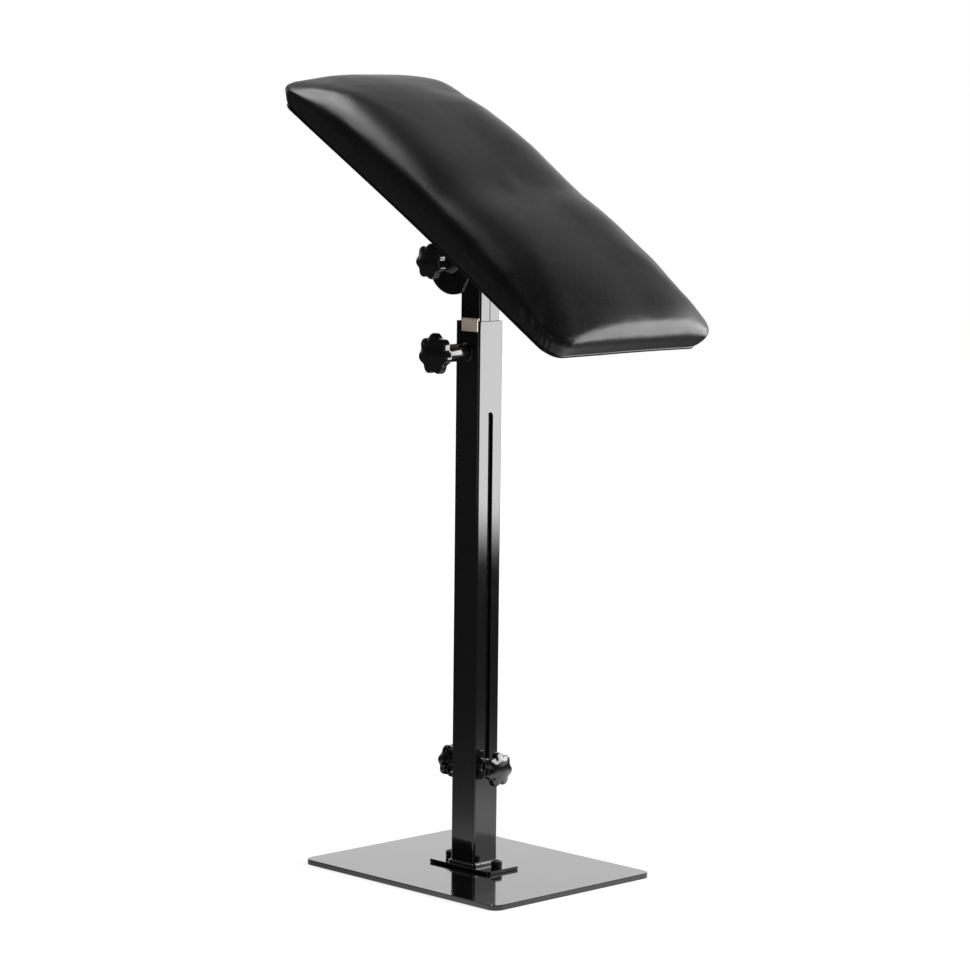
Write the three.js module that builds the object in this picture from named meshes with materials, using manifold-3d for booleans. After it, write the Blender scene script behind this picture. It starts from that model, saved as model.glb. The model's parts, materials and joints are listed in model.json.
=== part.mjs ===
// Tattoo armrest stand: a padded arm rest that tilts on a telescoping square column.
// Millimetres, +Z up. The origin is on the column's axis, in the base plate's underside.
// X runs along the base plate and the pad, Y along the pad's pivot.

import * as THREE from "three";
import { mergeVertices } from "three/addons/utils/BufferGeometryUtils.js";
import Module from "manifold-3d";

const wasm = await Module();
wasm.setup();

// Base plate
const baseLength = 250;
const baseWidth = 198;
const baseThickness = 5;
const baseCornerRadius = 10;
const baseShiftX = 1.5;
const baseShiftY = 2.2;

// Flange that joins the column to the base plate
const flangeLength = 78;
const flangeWidth = 40;
const flangeThickness = 3;
const flangeCornerRadius = 4;
const flangeScrewSpacing = 59;

// Outer square tube, with one slot in each X face
const columnLength = 491;
const columnSize = 30;
const columnWall = 1.5;
const columnCornerRadius = 2.5;
const slotWidth = 7;
const slotLength = 324;
const slotHeight = 86;
const weldLeg = 3.6;
const weldTopLeg = 1.1;

// Inner square tube that slides in the column
const mastLength = 488;
const mastSize = 25;
const mastWall = 1.2;
const mastCornerRadius = 2.2;
const mastFootToStud = 20;
const mastTopToPivot = 12.5;

// Clamp through the column's -Y face, near the rim
const clampDrop = 27.5;
const clampScrewRadius = 4;
const clampKnobStandoff = 14.2;
const stripWidth = 20;
const stripShift = 4;
const stripReach = 45;
const hookHeight = 9;
const hookRise = 1.8;

// Stud and washers of the height lock, at the mast's foot
const studRadius = 3;
const studKnobEngagement = 10;
const washerThickness = 1.6;
const studWasherRadius = 8;

// Tilt bracket and pivot
const tiltAngle = THREE.MathUtils.degToRad(31.4);
const bracketSpan = 70;
const bracketWidth = 50;
const bracketThickness = 3;
const bracketHeight = 30.7;
const bracketBendRadius = 4;
const earRadius = 30;
const bracketScrewSpacingX = 32;
const bracketScrewSpacingY = 40;
const pivotRadius = 4;
const pivotHeadRadius = 9.5;
const pivotHeadHeight = 4.5;
const pivotEngagement = 16;
const sleeveRadius = 9;
const pivotWasherRadius = 11;
const frictionWasherThickness = 1.5;

// Screws and nuts
const screwRadius = 3;
const capHeadRadius = 5;
const capHeadHeight = 4.2;
const socketRadius = 2.9;
const socketDepth = 2.4;
const screwWasherRadius = 5;
const screwWasherThickness = 1.2;
const panHeadRadius = 6;
const panHeadHeight = 3.5;
const bracketScrewLength = 12;
const lidThickness = 1.6;
const nutRadius = 7.5;
const nutHeight = 6.5;
const teeFlangeRadius = 9.5;
const teeFlangeThickness = 1.2;
const teeBarrelRadius = 4.2;
const teeBarrelLength = 6.5;
const insertRadius = 4.6;

// Pad
const padLength = 417;
const padWidth = 201.6;
const padEdgeHeight = 36.7;
const padCrown = 12.6;
const padShift = 9.8;
const padSideBulge = 8.1;
const padCornerRadius = 25.5;
const padSideDraw = 3.4;
const padEndDraw = 2.5;
const padEndSink = 4.2;
const padEndLean = 3.1;
const padCornerSink = 15.6;
const saddlePlace = 12.8;
const boardThickness = 9;
const coverThickness = 1;
const hemWidth = 24;
const linerThickness = 0.6;
const linerMargin = 11;

// Clearances
const gap = 0.3;
const foamClearance = 0.7;
const boreOverrun = 1;

// Counts and shares that shape the turned and moulded forms
const roundSegments = 16;
const hexSegments = 6;
const cornerSegments = 3;
const bendSegments = 4;
const earSegments = 14;
const knobLobes = 7;
const lobeSteps = 6;
const padLengthSteps = 12;
const padWidthSteps = 4;
const padCornerSteps = 4;
const padCrownPower = 5.4;
const crownLeanShare = 0.12;
const saddleDipShare = 0.24;
const saddleLengthShare = 0.083;
const padTopShares = [0.9, 0.74, 0.52, 0.26];
const padSideShares = [
  [0, 1], [0.1, 0.52], [0.24, 0.2], [0.45, 0], [0.66, 0.05], [0.83, 0.21], [0.95, 0.47], [1, 0.83],
];
const domeHeadShares = [[1, 0], [0.94, 0.45], [0.66, 0.83], [0, 1]];
const knobCrownShare = 0.5;

// Heights and places that follow from the sizes
const columnBottom = baseThickness + flangeThickness;
const columnTop = columnBottom + columnLength;
const columnBore = columnSize - 2 * columnWall;
const columnFace = columnSize / 2;
const slotBottom = columnBottom + slotHeight;
const studHeight = slotBottom + slotWidth / 2;
const mastBottom = studHeight - mastFootToStud;
const mastTop = mastBottom + mastLength;
const mastBore = mastSize - 2 * mastWall;
const mastOffset = columnBore / 2 - mastSize / 2 - gap;
const pivotHeight = mastTop - mastTopToPivot;
const clampHeight = columnTop - clampDrop;
const stripThickness = columnBore - mastSize - 3 * gap;
const studSeat = columnFace + gap + washerThickness + gap;
const earFace = bracketSpan / 2;
const earInner = earFace - bracketThickness;
const tiltKnobSeat = earFace + gap + washerThickness + gap;
const sleeveHalf = earInner - 2 * gap - frictionWasherThickness;
const linerBottom = bracketHeight + gap;
const padBottom = linerBottom + linerThickness + gap;
const boardBottom = padBottom + coverThickness + gap;
const boardTop = boardBottom + boardThickness;

// Knobs: radius, head thickness, whole height, hub radii and notch depth
const clampKnobSizes = {
  radius: 18.6, head: 9, height: 28.8, hubTip: 8, hubRoot: 10.5, notch: 2.8, dome: 1.2, round: 2.2,
};
const tiltKnobSizes = {
  radius: 16, head: 10, height: 26.8, hubTip: 8, hubRoot: 10, notch: 2.3, dome: 1.2, round: 1.8,
};
const slideKnobSizes = {
  radius: 15.8, head: 11, height: 19.4, hubTip: 8.5, hubRoot: 10, notch: 2.1, dome: 3, round: 2,
};

// How far each knob is turned, in degrees
const clampKnobTurn = -13;
const tiltKnobTurn = 8;
const frontKnobTurn = 10;
const rearKnobTurn = 23;

// Finishes
function finish(color, roughness, metalness) {
  return new THREE.MeshStandardMaterial({ color, roughness, metalness });
}

const glossPaint = finish(0x0b0b0c, 0.12, 0.1);
const blackOxide = finish(0x141415, 0.35, 0.6);
const zincSteel = finish(0x96907f, 0.35, 0.9);
const brightSteel = finish(0xb8b8b6, 0.3, 0.95);
const knobPlastic = finish(0x0e0e0f, 0.25, 0);
const nylon = finish(0x1b1b1c, 0.5, 0);
const brass = finish(0xb08d4a, 0.35, 0.9);
const vinyl = finish(0x1c1c1e, 0.42, 0);
const foam = finish(0xd9cfae, 0.9, 0);
const plywood = finish(0xb58a5a, 0.7, 0);
const linerCloth = finish(0x121212, 0.95, 0);

// Solid from closed geometry, and geometry back from a solid
function solidOf(geometry) {
  const bare = geometry.clone();
  bare.deleteAttribute("normal");
  bare.deleteAttribute("uv");
  const merged = mergeVertices(bare.index ? bare.toNonIndexed() : bare);
  return new wasm.Manifold(new wasm.Mesh({
    numProp: 3,
    vertProperties: new Float32Array(merged.attributes.position.array),
    triVerts: new Uint32Array(merged.index.array),
  }));
}

function geometryOf(solid) {
  const mesh = solid.getMesh();
  const geometry = new THREE.BufferGeometry();
  geometry.setAttribute("position", new THREE.BufferAttribute(mesh.vertProperties, 3));
  geometry.setIndex(new THREE.BufferAttribute(mesh.triVerts, 1));
  return geometry;
}

function cut(geometry, ...tools) {
  return geometryOf(tools.reduce((solid, tool) => solid.subtract(solidOf(tool)), solidOf(geometry)));
}

function join(...geometries) {
  return geometryOf(geometries.map(solidOf).reduce((whole, piece) => whole.add(piece)));
}

function common(first, second) {
  return geometryOf(solidOf(first).intersect(solidOf(second)));
}

// Round bar from one point along an axis to another
function rod(radius, start, end, axis = "z", segments = roundSegments) {
  const bar = new THREE.CylinderGeometry(radius, radius, end - start, segments);
  bar.translate(0, (start + end) / 2, 0);
  if (axis === "z") bar.rotateX(Math.PI / 2);
  if (axis === "x") bar.rotateZ(-Math.PI / 2);
  return bar;
}

function ring(outer, inner, start, end, axis = "z") {
  return cut(rod(outer, start, end, axis), rod(inner, start - boreOverrun, end + boreOverrun, axis));
}

function block(x, y, z) {
  return new THREE.BoxGeometry(x, y, z);
}

function roundedRectangle(width, height, radius) {
  const x = width / 2;
  const y = height / 2;
  const shape = new THREE.Shape();
  shape.moveTo(-x + radius, -y);
  shape.lineTo(x - radius, -y);
  shape.absarc(x - radius, -y + radius, radius, -Math.PI / 2, 0);
  shape.lineTo(x, y - radius);
  shape.absarc(x - radius, y - radius, radius, 0, Math.PI / 2);
  shape.lineTo(-x + radius, y);
  shape.absarc(-x + radius, y - radius, radius, Math.PI / 2, Math.PI);
  shape.lineTo(-x, -y + radius);
  shape.absarc(-x + radius, -y + radius, radius, Math.PI, 1.5 * Math.PI);
  return shape;
}

function prism(shape, depth, curveSegments = cornerSegments) {
  return new THREE.ExtrudeGeometry(shape, { depth, bevelEnabled: false, curveSegments });
}

function squareTube(size, wall, radius, length) {
  const section = roundedRectangle(size, size, radius);
  section.holes.push(roundedRectangle(size - 2 * wall, size - 2 * wall, radius - wall));
  return prism(section, length);
}

function middleOf(points) {
  return points.reduce((sum, p) => sum.add(p), new THREE.Vector3()).divideScalar(points.length);
}

// Closed skin through a list of equal rings of points. An end ring may be one point, its tip, and is
// capped flat otherwise; a skin that loops runs back into its first ring instead
function loft(rings, loops = false) {
  const rows = [...rings];
  if (!loops && rows[0].length > 1) rows.unshift([middleOf(rows[0])]);
  if (!loops && rows[rows.length - 1].length > 1) rows.push([middleOf(rows[rows.length - 1])]);
  const starts = rows.map((_, row) => rows.slice(0, row).flat().length);
  const steps = rings[1].length;
  const corner = (row, step) => starts[row] + (rows[row].length > 1 ? step % steps : 0);
  const faces = [];
  for (let row = 0; row < rows.length - (loops ? 0 : 1); row++) {
    const next = (row + 1) % rows.length;
    for (let step = 0; step < steps; step++) {
      const [a, b] = [corner(row, step), corner(row, step + 1)];
      const [c, d] = [corner(next, step + 1), corner(next, step)];
      if (a !== b) faces.push(a, b, c);
      if (c !== d) faces.push(a, c, d);
    }
  }
  const geometry = new THREE.BufferGeometry().setFromPoints(rows.flat());
  geometry.setIndex(faces);
  return geometry;
}

// Points of a rounded square at one height, the same number for every size
function squareRing(size, radius, height) {
  const points = roundedRectangle(size, size, radius).getPoints(cornerSegments);
  return points.slice(0, -1).map((p) => new THREE.Vector3(p.x, p.y, height));
}

// Star knob along +Z: hub tip at zero, face at the top, blind bore up from the tip
function starKnob(sizes, turn, boreRadius, boreDepth) {
  const { radius, head, height, hubTip, hubRoot, notch, dome, round } = sizes;
  const back = height - head;
  const rows = [
    [0, hubTip, 0],
    [back, hubRoot, 0],
    [back, radius - round, 1],
    [back + round, radius, 1],
    [height - dome - round, radius, 1],
    [height - dome, radius - round, 1],
    [height - dome * knobCrownShare, radius * knobCrownShare, 0],
  ];
  const steps = knobLobes * lobeSteps;
  const rings = rows.map(([z, r, lobed]) => Array.from({ length: steps }, (_, step) => {
    const angle = step / steps * 2 * Math.PI;
    const reach = r - lobed * notch * (1 - Math.cos(knobLobes * angle)) / 2;
    return new THREE.Vector3(reach * Math.cos(angle), reach * Math.sin(angle), z);
  }));
  const knob = loft(rings).rotateZ(THREE.MathUtils.degToRad(turn));
  return cut(knob, rod(boreRadius, -boreOverrun, boreDepth));
}

// Turn a piece made along +Z to lie along the given outward direction, its zero at a seat
function outward(geometry, direction, seat) {
  const turn = new THREE.Quaternion().setFromUnitVectors(new THREE.Vector3(0, 0, 1), direction);
  return geometry.clone().applyQuaternion(turn).translate(...direction.clone().multiplyScalar(seat));
}

const towardsMinusY = new THREE.Vector3(0, -1, 0);
const towardsPlusY = new THREE.Vector3(0, 1, 0);
const towardsPlusX = new THREE.Vector3(1, 0, 0);
const towardsMinusX = new THREE.Vector3(-1, 0, 0);

// Stand: base plate, flange and column
function basePlate() {
  const plate = prism(roundedRectangle(baseLength, baseWidth, baseCornerRadius), baseThickness)
    .translate(baseShiftX, baseShiftY, 0);
  const holes = flangeScrewPlaces().map((x) => (
    rod(screwRadius + gap, -boreOverrun, baseThickness + boreOverrun).translate(x, 0, 0)));
  return cut(plate, ...holes);
}

function flangeScrewPlaces() {
  return [-flangeScrewSpacing / 2, flangeScrewSpacing / 2];
}

function flangePlate() {
  const outline = roundedRectangle(flangeLength, flangeWidth, flangeCornerRadius);
  const holes = flangeScrewPlaces().map((x) => (
    rod(screwRadius + gap, -boreOverrun, flangeThickness + boreOverrun).translate(x, 0, 0)));
  return cut(prism(outline, flangeThickness - gap), ...holes).translate(0, 0, baseThickness + gap);
}

function flangeWasher(x) {
  const seat = columnBottom + gap;
  const washer = ring(screwWasherRadius, screwRadius + gap, seat, seat + screwWasherThickness);
  return washer.translate(x, 0, 0);
}

function flangeScrew(x) {
  const seat = columnBottom + 2 * gap + screwWasherThickness;
  const top = seat + capHeadHeight;
  const screw = join(rod(capHeadRadius, seat, top), rod(screwRadius, gap, seat + screwRadius));
  const socket = rod(socketRadius, top - socketDepth, top + boreOverrun, "z", hexSegments);
  return cut(screw, socket).translate(x, 0, 0);
}

function slotTool(side) {
  const run = slotLength - slotWidth;
  const slot = join(
    rod(slotWidth / 2, 0, columnSize, "x"),
    rod(slotWidth / 2, 0, columnSize, "x").translate(0, 0, run),
    block(columnSize, slotWidth, run).translate(columnSize / 2, 0, run / 2),
  );
  return slot.translate(side > 0 ? 0 : -columnSize, 0, studHeight);
}

function columnTube() {
  const tube = squareTube(columnSize, columnWall, columnCornerRadius, columnLength - gap);
  tube.translate(0, 0, columnBottom + gap);
  const clampHole = rod(clampScrewRadius + gap, -columnSize, 0, "y").translate(0, 0, clampHeight);
  return cut(tube, slotTool(1), slotTool(-1), clampHole);
}

function columnWeld() {
  const inner = columnSize + 2 * gap;
  const low = columnBottom + gap;
  return loft([
    squareRing(inner + 2 * weldLeg, columnCornerRadius + weldLeg, low),
    squareRing(inner + 2 * weldTopLeg, columnCornerRadius + weldTopLeg, low + weldLeg - weldTopLeg),
    squareRing(inner, columnCornerRadius + gap, low + weldLeg),
    squareRing(inner, columnCornerRadius + gap, low),
  ], true);
}

function clampNut() {
  const start = -columnFace - gap - nutHeight;
  const nut = rod(nutRadius, start, start + nutHeight, "y", hexSegments);
  const bore = rod(clampScrewRadius + gap, start - boreOverrun, start + nutHeight + boreOverrun, "y");
  return cut(nut, bore).translate(0, 0, clampHeight);
}

// Spring steel strip: hooked over the rim, hanging inside between column and mast. Its inner leg is
// trimmed to clear the rounding inside the column
function pressureStrip() {
  const outer = -columnFace - gap - stripThickness;
  const inner = -columnBore / 2 + gap + stripThickness;
  const top = columnTop + hookRise + stripThickness;
  const section = new THREE.Shape();
  section.moveTo(outer, columnTop - hookHeight);
  section.lineTo(outer + stripThickness, columnTop - hookHeight);
  section.lineTo(outer + stripThickness, top - stripThickness);
  section.lineTo(inner - stripThickness, top - stripThickness);
  section.lineTo(inner - stripThickness, columnTop - stripReach);
  section.lineTo(inner, columnTop - stripReach);
  section.lineTo(inner, top);
  section.lineTo(outer, top);
  const strip = prism(section, stripWidth).translate(0, 0, -stripWidth / 2);
  strip.rotateX(Math.PI / 2).rotateZ(Math.PI / 2);
  const legEnd = columnBore / 2 - (columnCornerRadius - columnWall);
  const trim = block(columnSize, columnSize, 2 * columnSize);
  trim.translate(legEnd + columnSize / 2, 0, columnTop - columnSize);
  return cut(strip.translate(stripShift, 0, 0), trim);
}

// Clamp screw and knob, turning about Y in the column's welded nut
function clampScrew() {
  const tip = -columnBore / 2;
  const head = -columnFace - clampKnobStandoff - clampKnobSizes.height / 2;
  return rod(clampScrewRadius, head, tip, "y").translate(0, 0, clampHeight);
}

function clampKnob() {
  const boreDepth = clampKnobSizes.height / 2 + gap;
  const knob = starKnob(clampKnobSizes, clampKnobTurn, clampScrewRadius + gap, boreDepth);
  return outward(knob, towardsMinusY, columnFace + clampKnobStandoff).translate(0, 0, clampHeight);
}

// Mast: inner tube, its plugs, the stud of the height lock and the pivot sleeve
function mastTube() {
  const tube = squareTube(mastSize, mastWall, mastCornerRadius, mastLength);
  tube.translate(0, mastOffset, mastBottom);
  const studHole = rod(studRadius + gap, -mastSize, mastSize, "x").translate(0, 0, studHeight);
  const sleeveHole = rod(sleeveRadius + gap, -mastSize, mastSize, "y").translate(0, 0, pivotHeight);
  return cut(tube, studHole, sleeveHole);
}

function mastPlug() {
  const inside = mastBore - 2 * gap;
  const radius = mastCornerRadius - mastWall;
  const length = 2 * mastFootToStud;
  const lid = prism(roundedRectangle(mastSize, mastSize, mastCornerRadius), lidThickness);
  const body = prism(roundedRectangle(inside, inside, radius), length + lidThickness);
  const plug = join(lid, body).translate(0, mastOffset, mastBottom - gap - lidThickness);
  return cut(plug, rod(studRadius + gap, -mastSize, mastSize, "x").translate(0, 0, studHeight));
}

function mastCap() {
  const inside = mastBore - 2 * gap;
  const depth = mastTopToPivot - sleeveRadius - 2 * gap;
  const lid = prism(roundedRectangle(mastSize, mastSize, mastCornerRadius), lidThickness);
  const radius = mastCornerRadius - mastWall;
  const body = prism(roundedRectangle(inside, inside, radius), depth + lidThickness);
  return join(lid, body.translate(0, 0, -depth)).translate(0, mastOffset, mastTop + gap);
}

function slideStud() {
  const reach = studSeat + studKnobEngagement;
  return rod(studRadius, -reach, reach, "x").translate(0, 0, studHeight);
}

function slideWasher(direction) {
  const washer = ring(studWasherRadius, studRadius + gap, 0, washerThickness);
  return outward(washer, direction, columnFace + gap).translate(0, 0, studHeight);
}

function pivotSleeve() {
  const sleeve = ring(sleeveRadius, pivotRadius + gap, -sleeveHalf, sleeveHalf, "y");
  return sleeve.translate(0, 0, pivotHeight);
}

// Height lock knobs, one at each end of the stud
function slideKnob(direction, turn) {
  const knob = starKnob(slideKnobSizes, turn, insertRadius + gap, studKnobEngagement + gap);
  return outward(knob, direction, studSeat).translate(0, 0, studHeight);
}

function slideInsert(direction) {
  const insert = ring(insertRadius, studRadius + gap, 0, studKnobEngagement);
  return outward(insert, direction, studSeat).translate(0, 0, studHeight);
}

// Tilting head, drawn about the pivot with the pad level
function bracketSection() {
  const bend = bracketBendRadius;
  const inside = bend - bracketThickness;
  const low = -earRadius - boreOverrun;
  const section = new THREE.Shape();
  section.moveTo(-earFace, low);
  section.lineTo(-earInner, low);
  section.lineTo(-earInner, bracketHeight - bend);
  section.absarc(-earFace + bend, bracketHeight - bend, inside, Math.PI, Math.PI / 2, true);
  section.lineTo(earFace - bend, bracketHeight - bracketThickness);
  section.absarc(earFace - bend, bracketHeight - bend, inside, Math.PI / 2, 0, true);
  section.lineTo(earInner, low);
  section.lineTo(earFace, low);
  section.lineTo(earFace, bracketHeight - bend);
  section.absarc(earFace - bend, bracketHeight - bend, bend, 0, Math.PI / 2);
  section.lineTo(-earFace + bend, bracketHeight);
  section.absarc(-earFace + bend, bracketHeight - bend, bend, Math.PI / 2, Math.PI);
  return section;
}

function earOutline() {
  const half = bracketWidth / 2;
  const start = Math.asin(half / earRadius);
  const outline = new THREE.Shape();
  outline.moveTo(half, bracketHeight + boreOverrun);
  outline.lineTo(-half, bracketHeight + boreOverrun);
  outline.absarc(0, 0, earRadius, -Math.PI / 2 - start, -Math.PI / 2 + start);
  return outline;
}

function bracketScrewPlaces() {
  const x = bracketScrewSpacingX / 2;
  const y = bracketScrewSpacingY / 2;
  return [[x, y], [-x, y], [x, -y], [-x, -y]];
}

function saddleBracket() {
  const channel = prism(bracketSection(), bracketWidth, bendSegments).translate(0, 0, -bracketWidth / 2);
  channel.rotateX(Math.PI / 2).rotateZ(Math.PI / 2);
  const ears = prism(earOutline(), 2 * bracketSpan, earSegments);
  ears.rotateX(Math.PI / 2).translate(0, bracketSpan, 0);
  const neck = 2 * (pivotRadius + gap);
  const holes = bracketScrewPlaces().map(([x, y]) => (
    rod(screwRadius + gap, 0, bracketHeight + boreOverrun).translate(x, y, 0)));
  return cut(
    common(channel, ears),
    rod(pivotRadius + gap, -bracketSpan, 0, "y"),
    block(neck, bracketSpan, neck).translate(0, bracketSpan / 2, 0),
    ...holes,
  );
}

function bracketScrew(x, y) {
  const seat = bracketHeight - bracketThickness - gap;
  const under = seat - panHeadHeight;
  const head = rod(panHeadRadius, under, seat);
  const socket = rod(socketRadius, under - boreOverrun, seat - panHeadHeight / 2, "z", hexSegments);
  const shank = rod(screwRadius, seat - panHeadHeight / 3, seat + bracketScrewLength);
  return cut(join(head, shank), socket).translate(x, y, 0);
}

function teeNut(x, y) {
  const top = boardTop - gap;
  const flange = rod(teeFlangeRadius, top - teeFlangeThickness, top);
  const barrel = rod(teeBarrelRadius, top - teeBarrelLength, top - teeFlangeThickness / 2);
  const bore = rod(screwRadius + gap, 0, top + boreOverrun);
  return cut(join(flange, barrel), bore).translate(x, y, 0);
}

function pivotBolt() {
  const seat = earFace + gap;
  const end = -tiltKnobSeat - pivotEngagement;
  const shank = rod(pivotRadius, end, seat + gap, "y");
  const neck = block(2 * pivotRadius, bracketThickness, 2 * pivotRadius);
  neck.translate(0, earFace - bracketThickness / 2, 0);
  const profile = domeHeadShares.map(([across, up]) => (
    new THREE.Vector2(across * pivotHeadRadius, up * pivotHeadHeight)));
  const dome = new THREE.LatheGeometry([new THREE.Vector2(), ...profile], roundSegments);
  return join(shank, neck, dome.translate(0, seat, 0));
}

function frictionWasher(direction) {
  const washer = ring(pivotWasherRadius, pivotRadius + gap, 0, frictionWasherThickness);
  return outward(washer, direction, sleeveHalf + gap);
}

function pivotWasher() {
  const washer = ring(pivotWasherRadius, pivotRadius + gap, 0, washerThickness);
  return outward(washer, towardsMinusY, earFace + gap);
}

function tiltKnob() {
  const knob = starKnob(tiltKnobSizes, tiltKnobTurn, insertRadius + 2 * gap, pivotEngagement + gap);
  return outward(knob, towardsMinusY, tiltKnobSeat);
}

function tiltInsert() {
  const insert = ring(insertRadius + gap, pivotRadius + gap, 0, pivotEngagement);
  return outward(insert, towardsMinusY, tiltKnobSeat);
}

// Points along one straight side, without its last point
function evenPoints(from, to, steps) {
  return Array.from({ length: steps }, (_, step) => from.clone().lerp(to, step / steps));
}

// Pad outline at one height: a rounded rectangle whose sides are drawn in between its corners
function padRing(inset, height) {
  const halfLength = padLength / 2 - inset;
  const halfWidth = padWidth / 2 - inset;
  const radius = Math.max(padCornerRadius - inset, padCornerRadius / padCornerSteps);
  const x = halfLength - radius;
  const y = halfWidth - radius;
  const corners = [[x, y], [-x, y], [-x, -y], [x, -y]];
  const around = (index, turn) => {
    const angle = (index + turn) * Math.PI / 2;
    const [centreX, centreY] = corners[index];
    const reach = new THREE.Vector3(Math.cos(angle), Math.sin(angle), 0).multiplyScalar(radius);
    return reach.add(new THREE.Vector3(centreX, centreY, height));
  };
  const points = corners.flatMap((_, index) => {
    const turns = Array.from({ length: padCornerSteps }, (_, step) => step / padCornerSteps);
    const sideSteps = index % 2 ? padWidthSteps : padLengthSteps;
    const next = around((index + 1) % corners.length, 0);
    return [...turns.map((turn) => around(index, turn)), ...evenPoints(around(index, 1), next, sideSteps)];
  });
  return points.map((p) => {
    const alongShare = p.x / halfLength;
    const acrossShare = p.y / halfWidth;
    p.x -= padEndDraw * alongShare * (1 - acrossShare ** 2) ** 2 + padShift;
    p.y -= padSideDraw * acrossShare * (1 - alongShare ** 2) ** 2;
    return p;
  });
}

// Crown of the padding: it leans to the high end and has a shallow saddle near the middle
function crownShare(x, share) {
  const saddle = 1 - saddleDipShare * Math.exp(-(((x - saddlePlace) / (saddleLengthShare * padLength)) ** 2));
  return (1 - share ** padCrownPower) * saddle * (1 - crownLeanShare * x / (padLength / 2));
}

// Padding above the board leans in at the ends and sinks there, most at the corners
function sunk(points) {
  const low = boardTop + gap;
  const high = padBottom + padEdgeHeight;
  return points.map((p) => {
    const alongShare = (p.x + padShift) / (padLength / 2);
    const acrossShare = p.y / (padWidth / 2);
    const sink = padEndSink * alongShare ** 4 + padCornerSink * (alongShare * acrossShare) ** 2;
    const heightShare = THREE.MathUtils.clamp((p.z - low) / (high - low), 0, 1);
    const lean = padEndLean * heightShare ** 2 * alongShare ** 3;
    return new THREE.Vector3(p.x - lean, p.y, p.z - sink * heightShare);
  });
}

// Padded body above a floor, taken in all round by an even skin
function padBody(skin, floor) {
  const bottom = padBottom + skin;
  const top = padBottom + padEdgeHeight - skin;
  const rings = padSideShares
    .map(([heightShare, insetShare]) => [bottom + heightShare * (top - bottom), insetShare])
    .filter(([height]) => height > floor)
    .map(([height, insetShare]) => padRing(skin + insetShare * padSideBulge, height));
  const rim = rings[rings.length - 1];
  for (const share of padTopShares) {
    rings.push(rim.map((p) => {
      const x = (p.x + padShift) * share;
      return new THREE.Vector3(x - padShift, p.y * share, top + padCrown * crownShare(x, share));
    }));
  }
  const peak = new THREE.Vector3(-padShift, 0, top + padCrown * crownShare(0, 0));
  return loft([padRing(skin + padSideBulge, Math.max(floor, bottom)), ...rings, [peak]].map(sunk));
}

function padCover() {
  const edge = padSideBulge + hemWidth;
  const opening = loft([padRing(edge, padBottom - boreOverrun), padRing(edge, boardBottom)]);
  return cut(padBody(0, padBottom), padBody(coverThickness, padBottom + coverThickness), opening);
}

function padFoam() {
  return padBody(coverThickness + foamClearance, boardTop + gap);
}

function padBoard() {
  const inset = padSideBulge + coverThickness + foamClearance;
  const board = loft([padRing(inset, boardBottom), padRing(inset, boardTop)]);
  const recess = boardTop - teeFlangeThickness - 2 * gap;
  const holes = bracketScrewPlaces().flatMap(([x, y]) => [
    rod(teeBarrelRadius + gap, boardBottom - boreOverrun, boardTop).translate(x, y, 0),
    rod(teeFlangeRadius + gap, recess, boardTop + boreOverrun).translate(x, y, 0),
  ]);
  return cut(board, ...holes);
}

function padLiner() {
  const inset = padSideBulge + linerMargin;
  const liner = loft([padRing(inset, linerBottom), padRing(inset, linerBottom + linerThickness)]);
  const holes = bracketScrewPlaces().map(([x, y]) => (
    rod(screwRadius + gap, 0, boardTop).translate(x, y, 0)));
  return cut(liner, ...holes);
}

function addPieces(group, pieces) {
  for (const [name, geometry, material] of pieces) {
    const mesh = new THREE.Mesh(geometry, material);
    mesh.name = name;
    group.add(mesh);
  }
  return group;
}

const [rearScrewX, frontScrewX] = flangeScrewPlaces();
const stand = addPieces(new THREE.Group(), [
  ["base_plate", basePlate(), glossPaint],
  ["flange_plate", flangePlate(), glossPaint],
  ["flange_washer_front", flangeWasher(frontScrewX), blackOxide],
  ["flange_washer_rear", flangeWasher(rearScrewX), blackOxide],
  ["flange_screw_front", flangeScrew(frontScrewX), blackOxide],
  ["flange_screw_rear", flangeScrew(rearScrewX), blackOxide],
  ["column_tube", columnTube(), glossPaint],
  ["column_weld", columnWeld(), glossPaint],
  ["clamp_nut", clampNut(), glossPaint],
  ["pressure_strip", pressureStrip(), zincSteel],
  ["clamp_screw", clampScrew(), brightSteel],
  ["clamp_knob", clampKnob(), knobPlastic],
]);

const mast = addPieces(new THREE.Group(), [
  ["mast_tube", mastTube(), glossPaint],
  ["mast_plug", mastPlug(), nylon],
  ["mast_cap", mastCap(), nylon],
  ["pivot_sleeve", pivotSleeve(), glossPaint],
  ["slide_stud", slideStud(), brightSteel],
  ["slide_washer_front", slideWasher(towardsPlusX), brightSteel],
  ["slide_washer_rear", slideWasher(towardsMinusX), brightSteel],
  ["slide_knob_front", slideKnob(towardsPlusX, frontKnobTurn), knobPlastic],
  ["slide_knob_rear", slideKnob(towardsMinusX, rearKnobTurn), knobPlastic],
  ["slide_insert_front", slideInsert(towardsPlusX), brass],
  ["slide_insert_rear", slideInsert(towardsMinusX), brass],
]);

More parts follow.
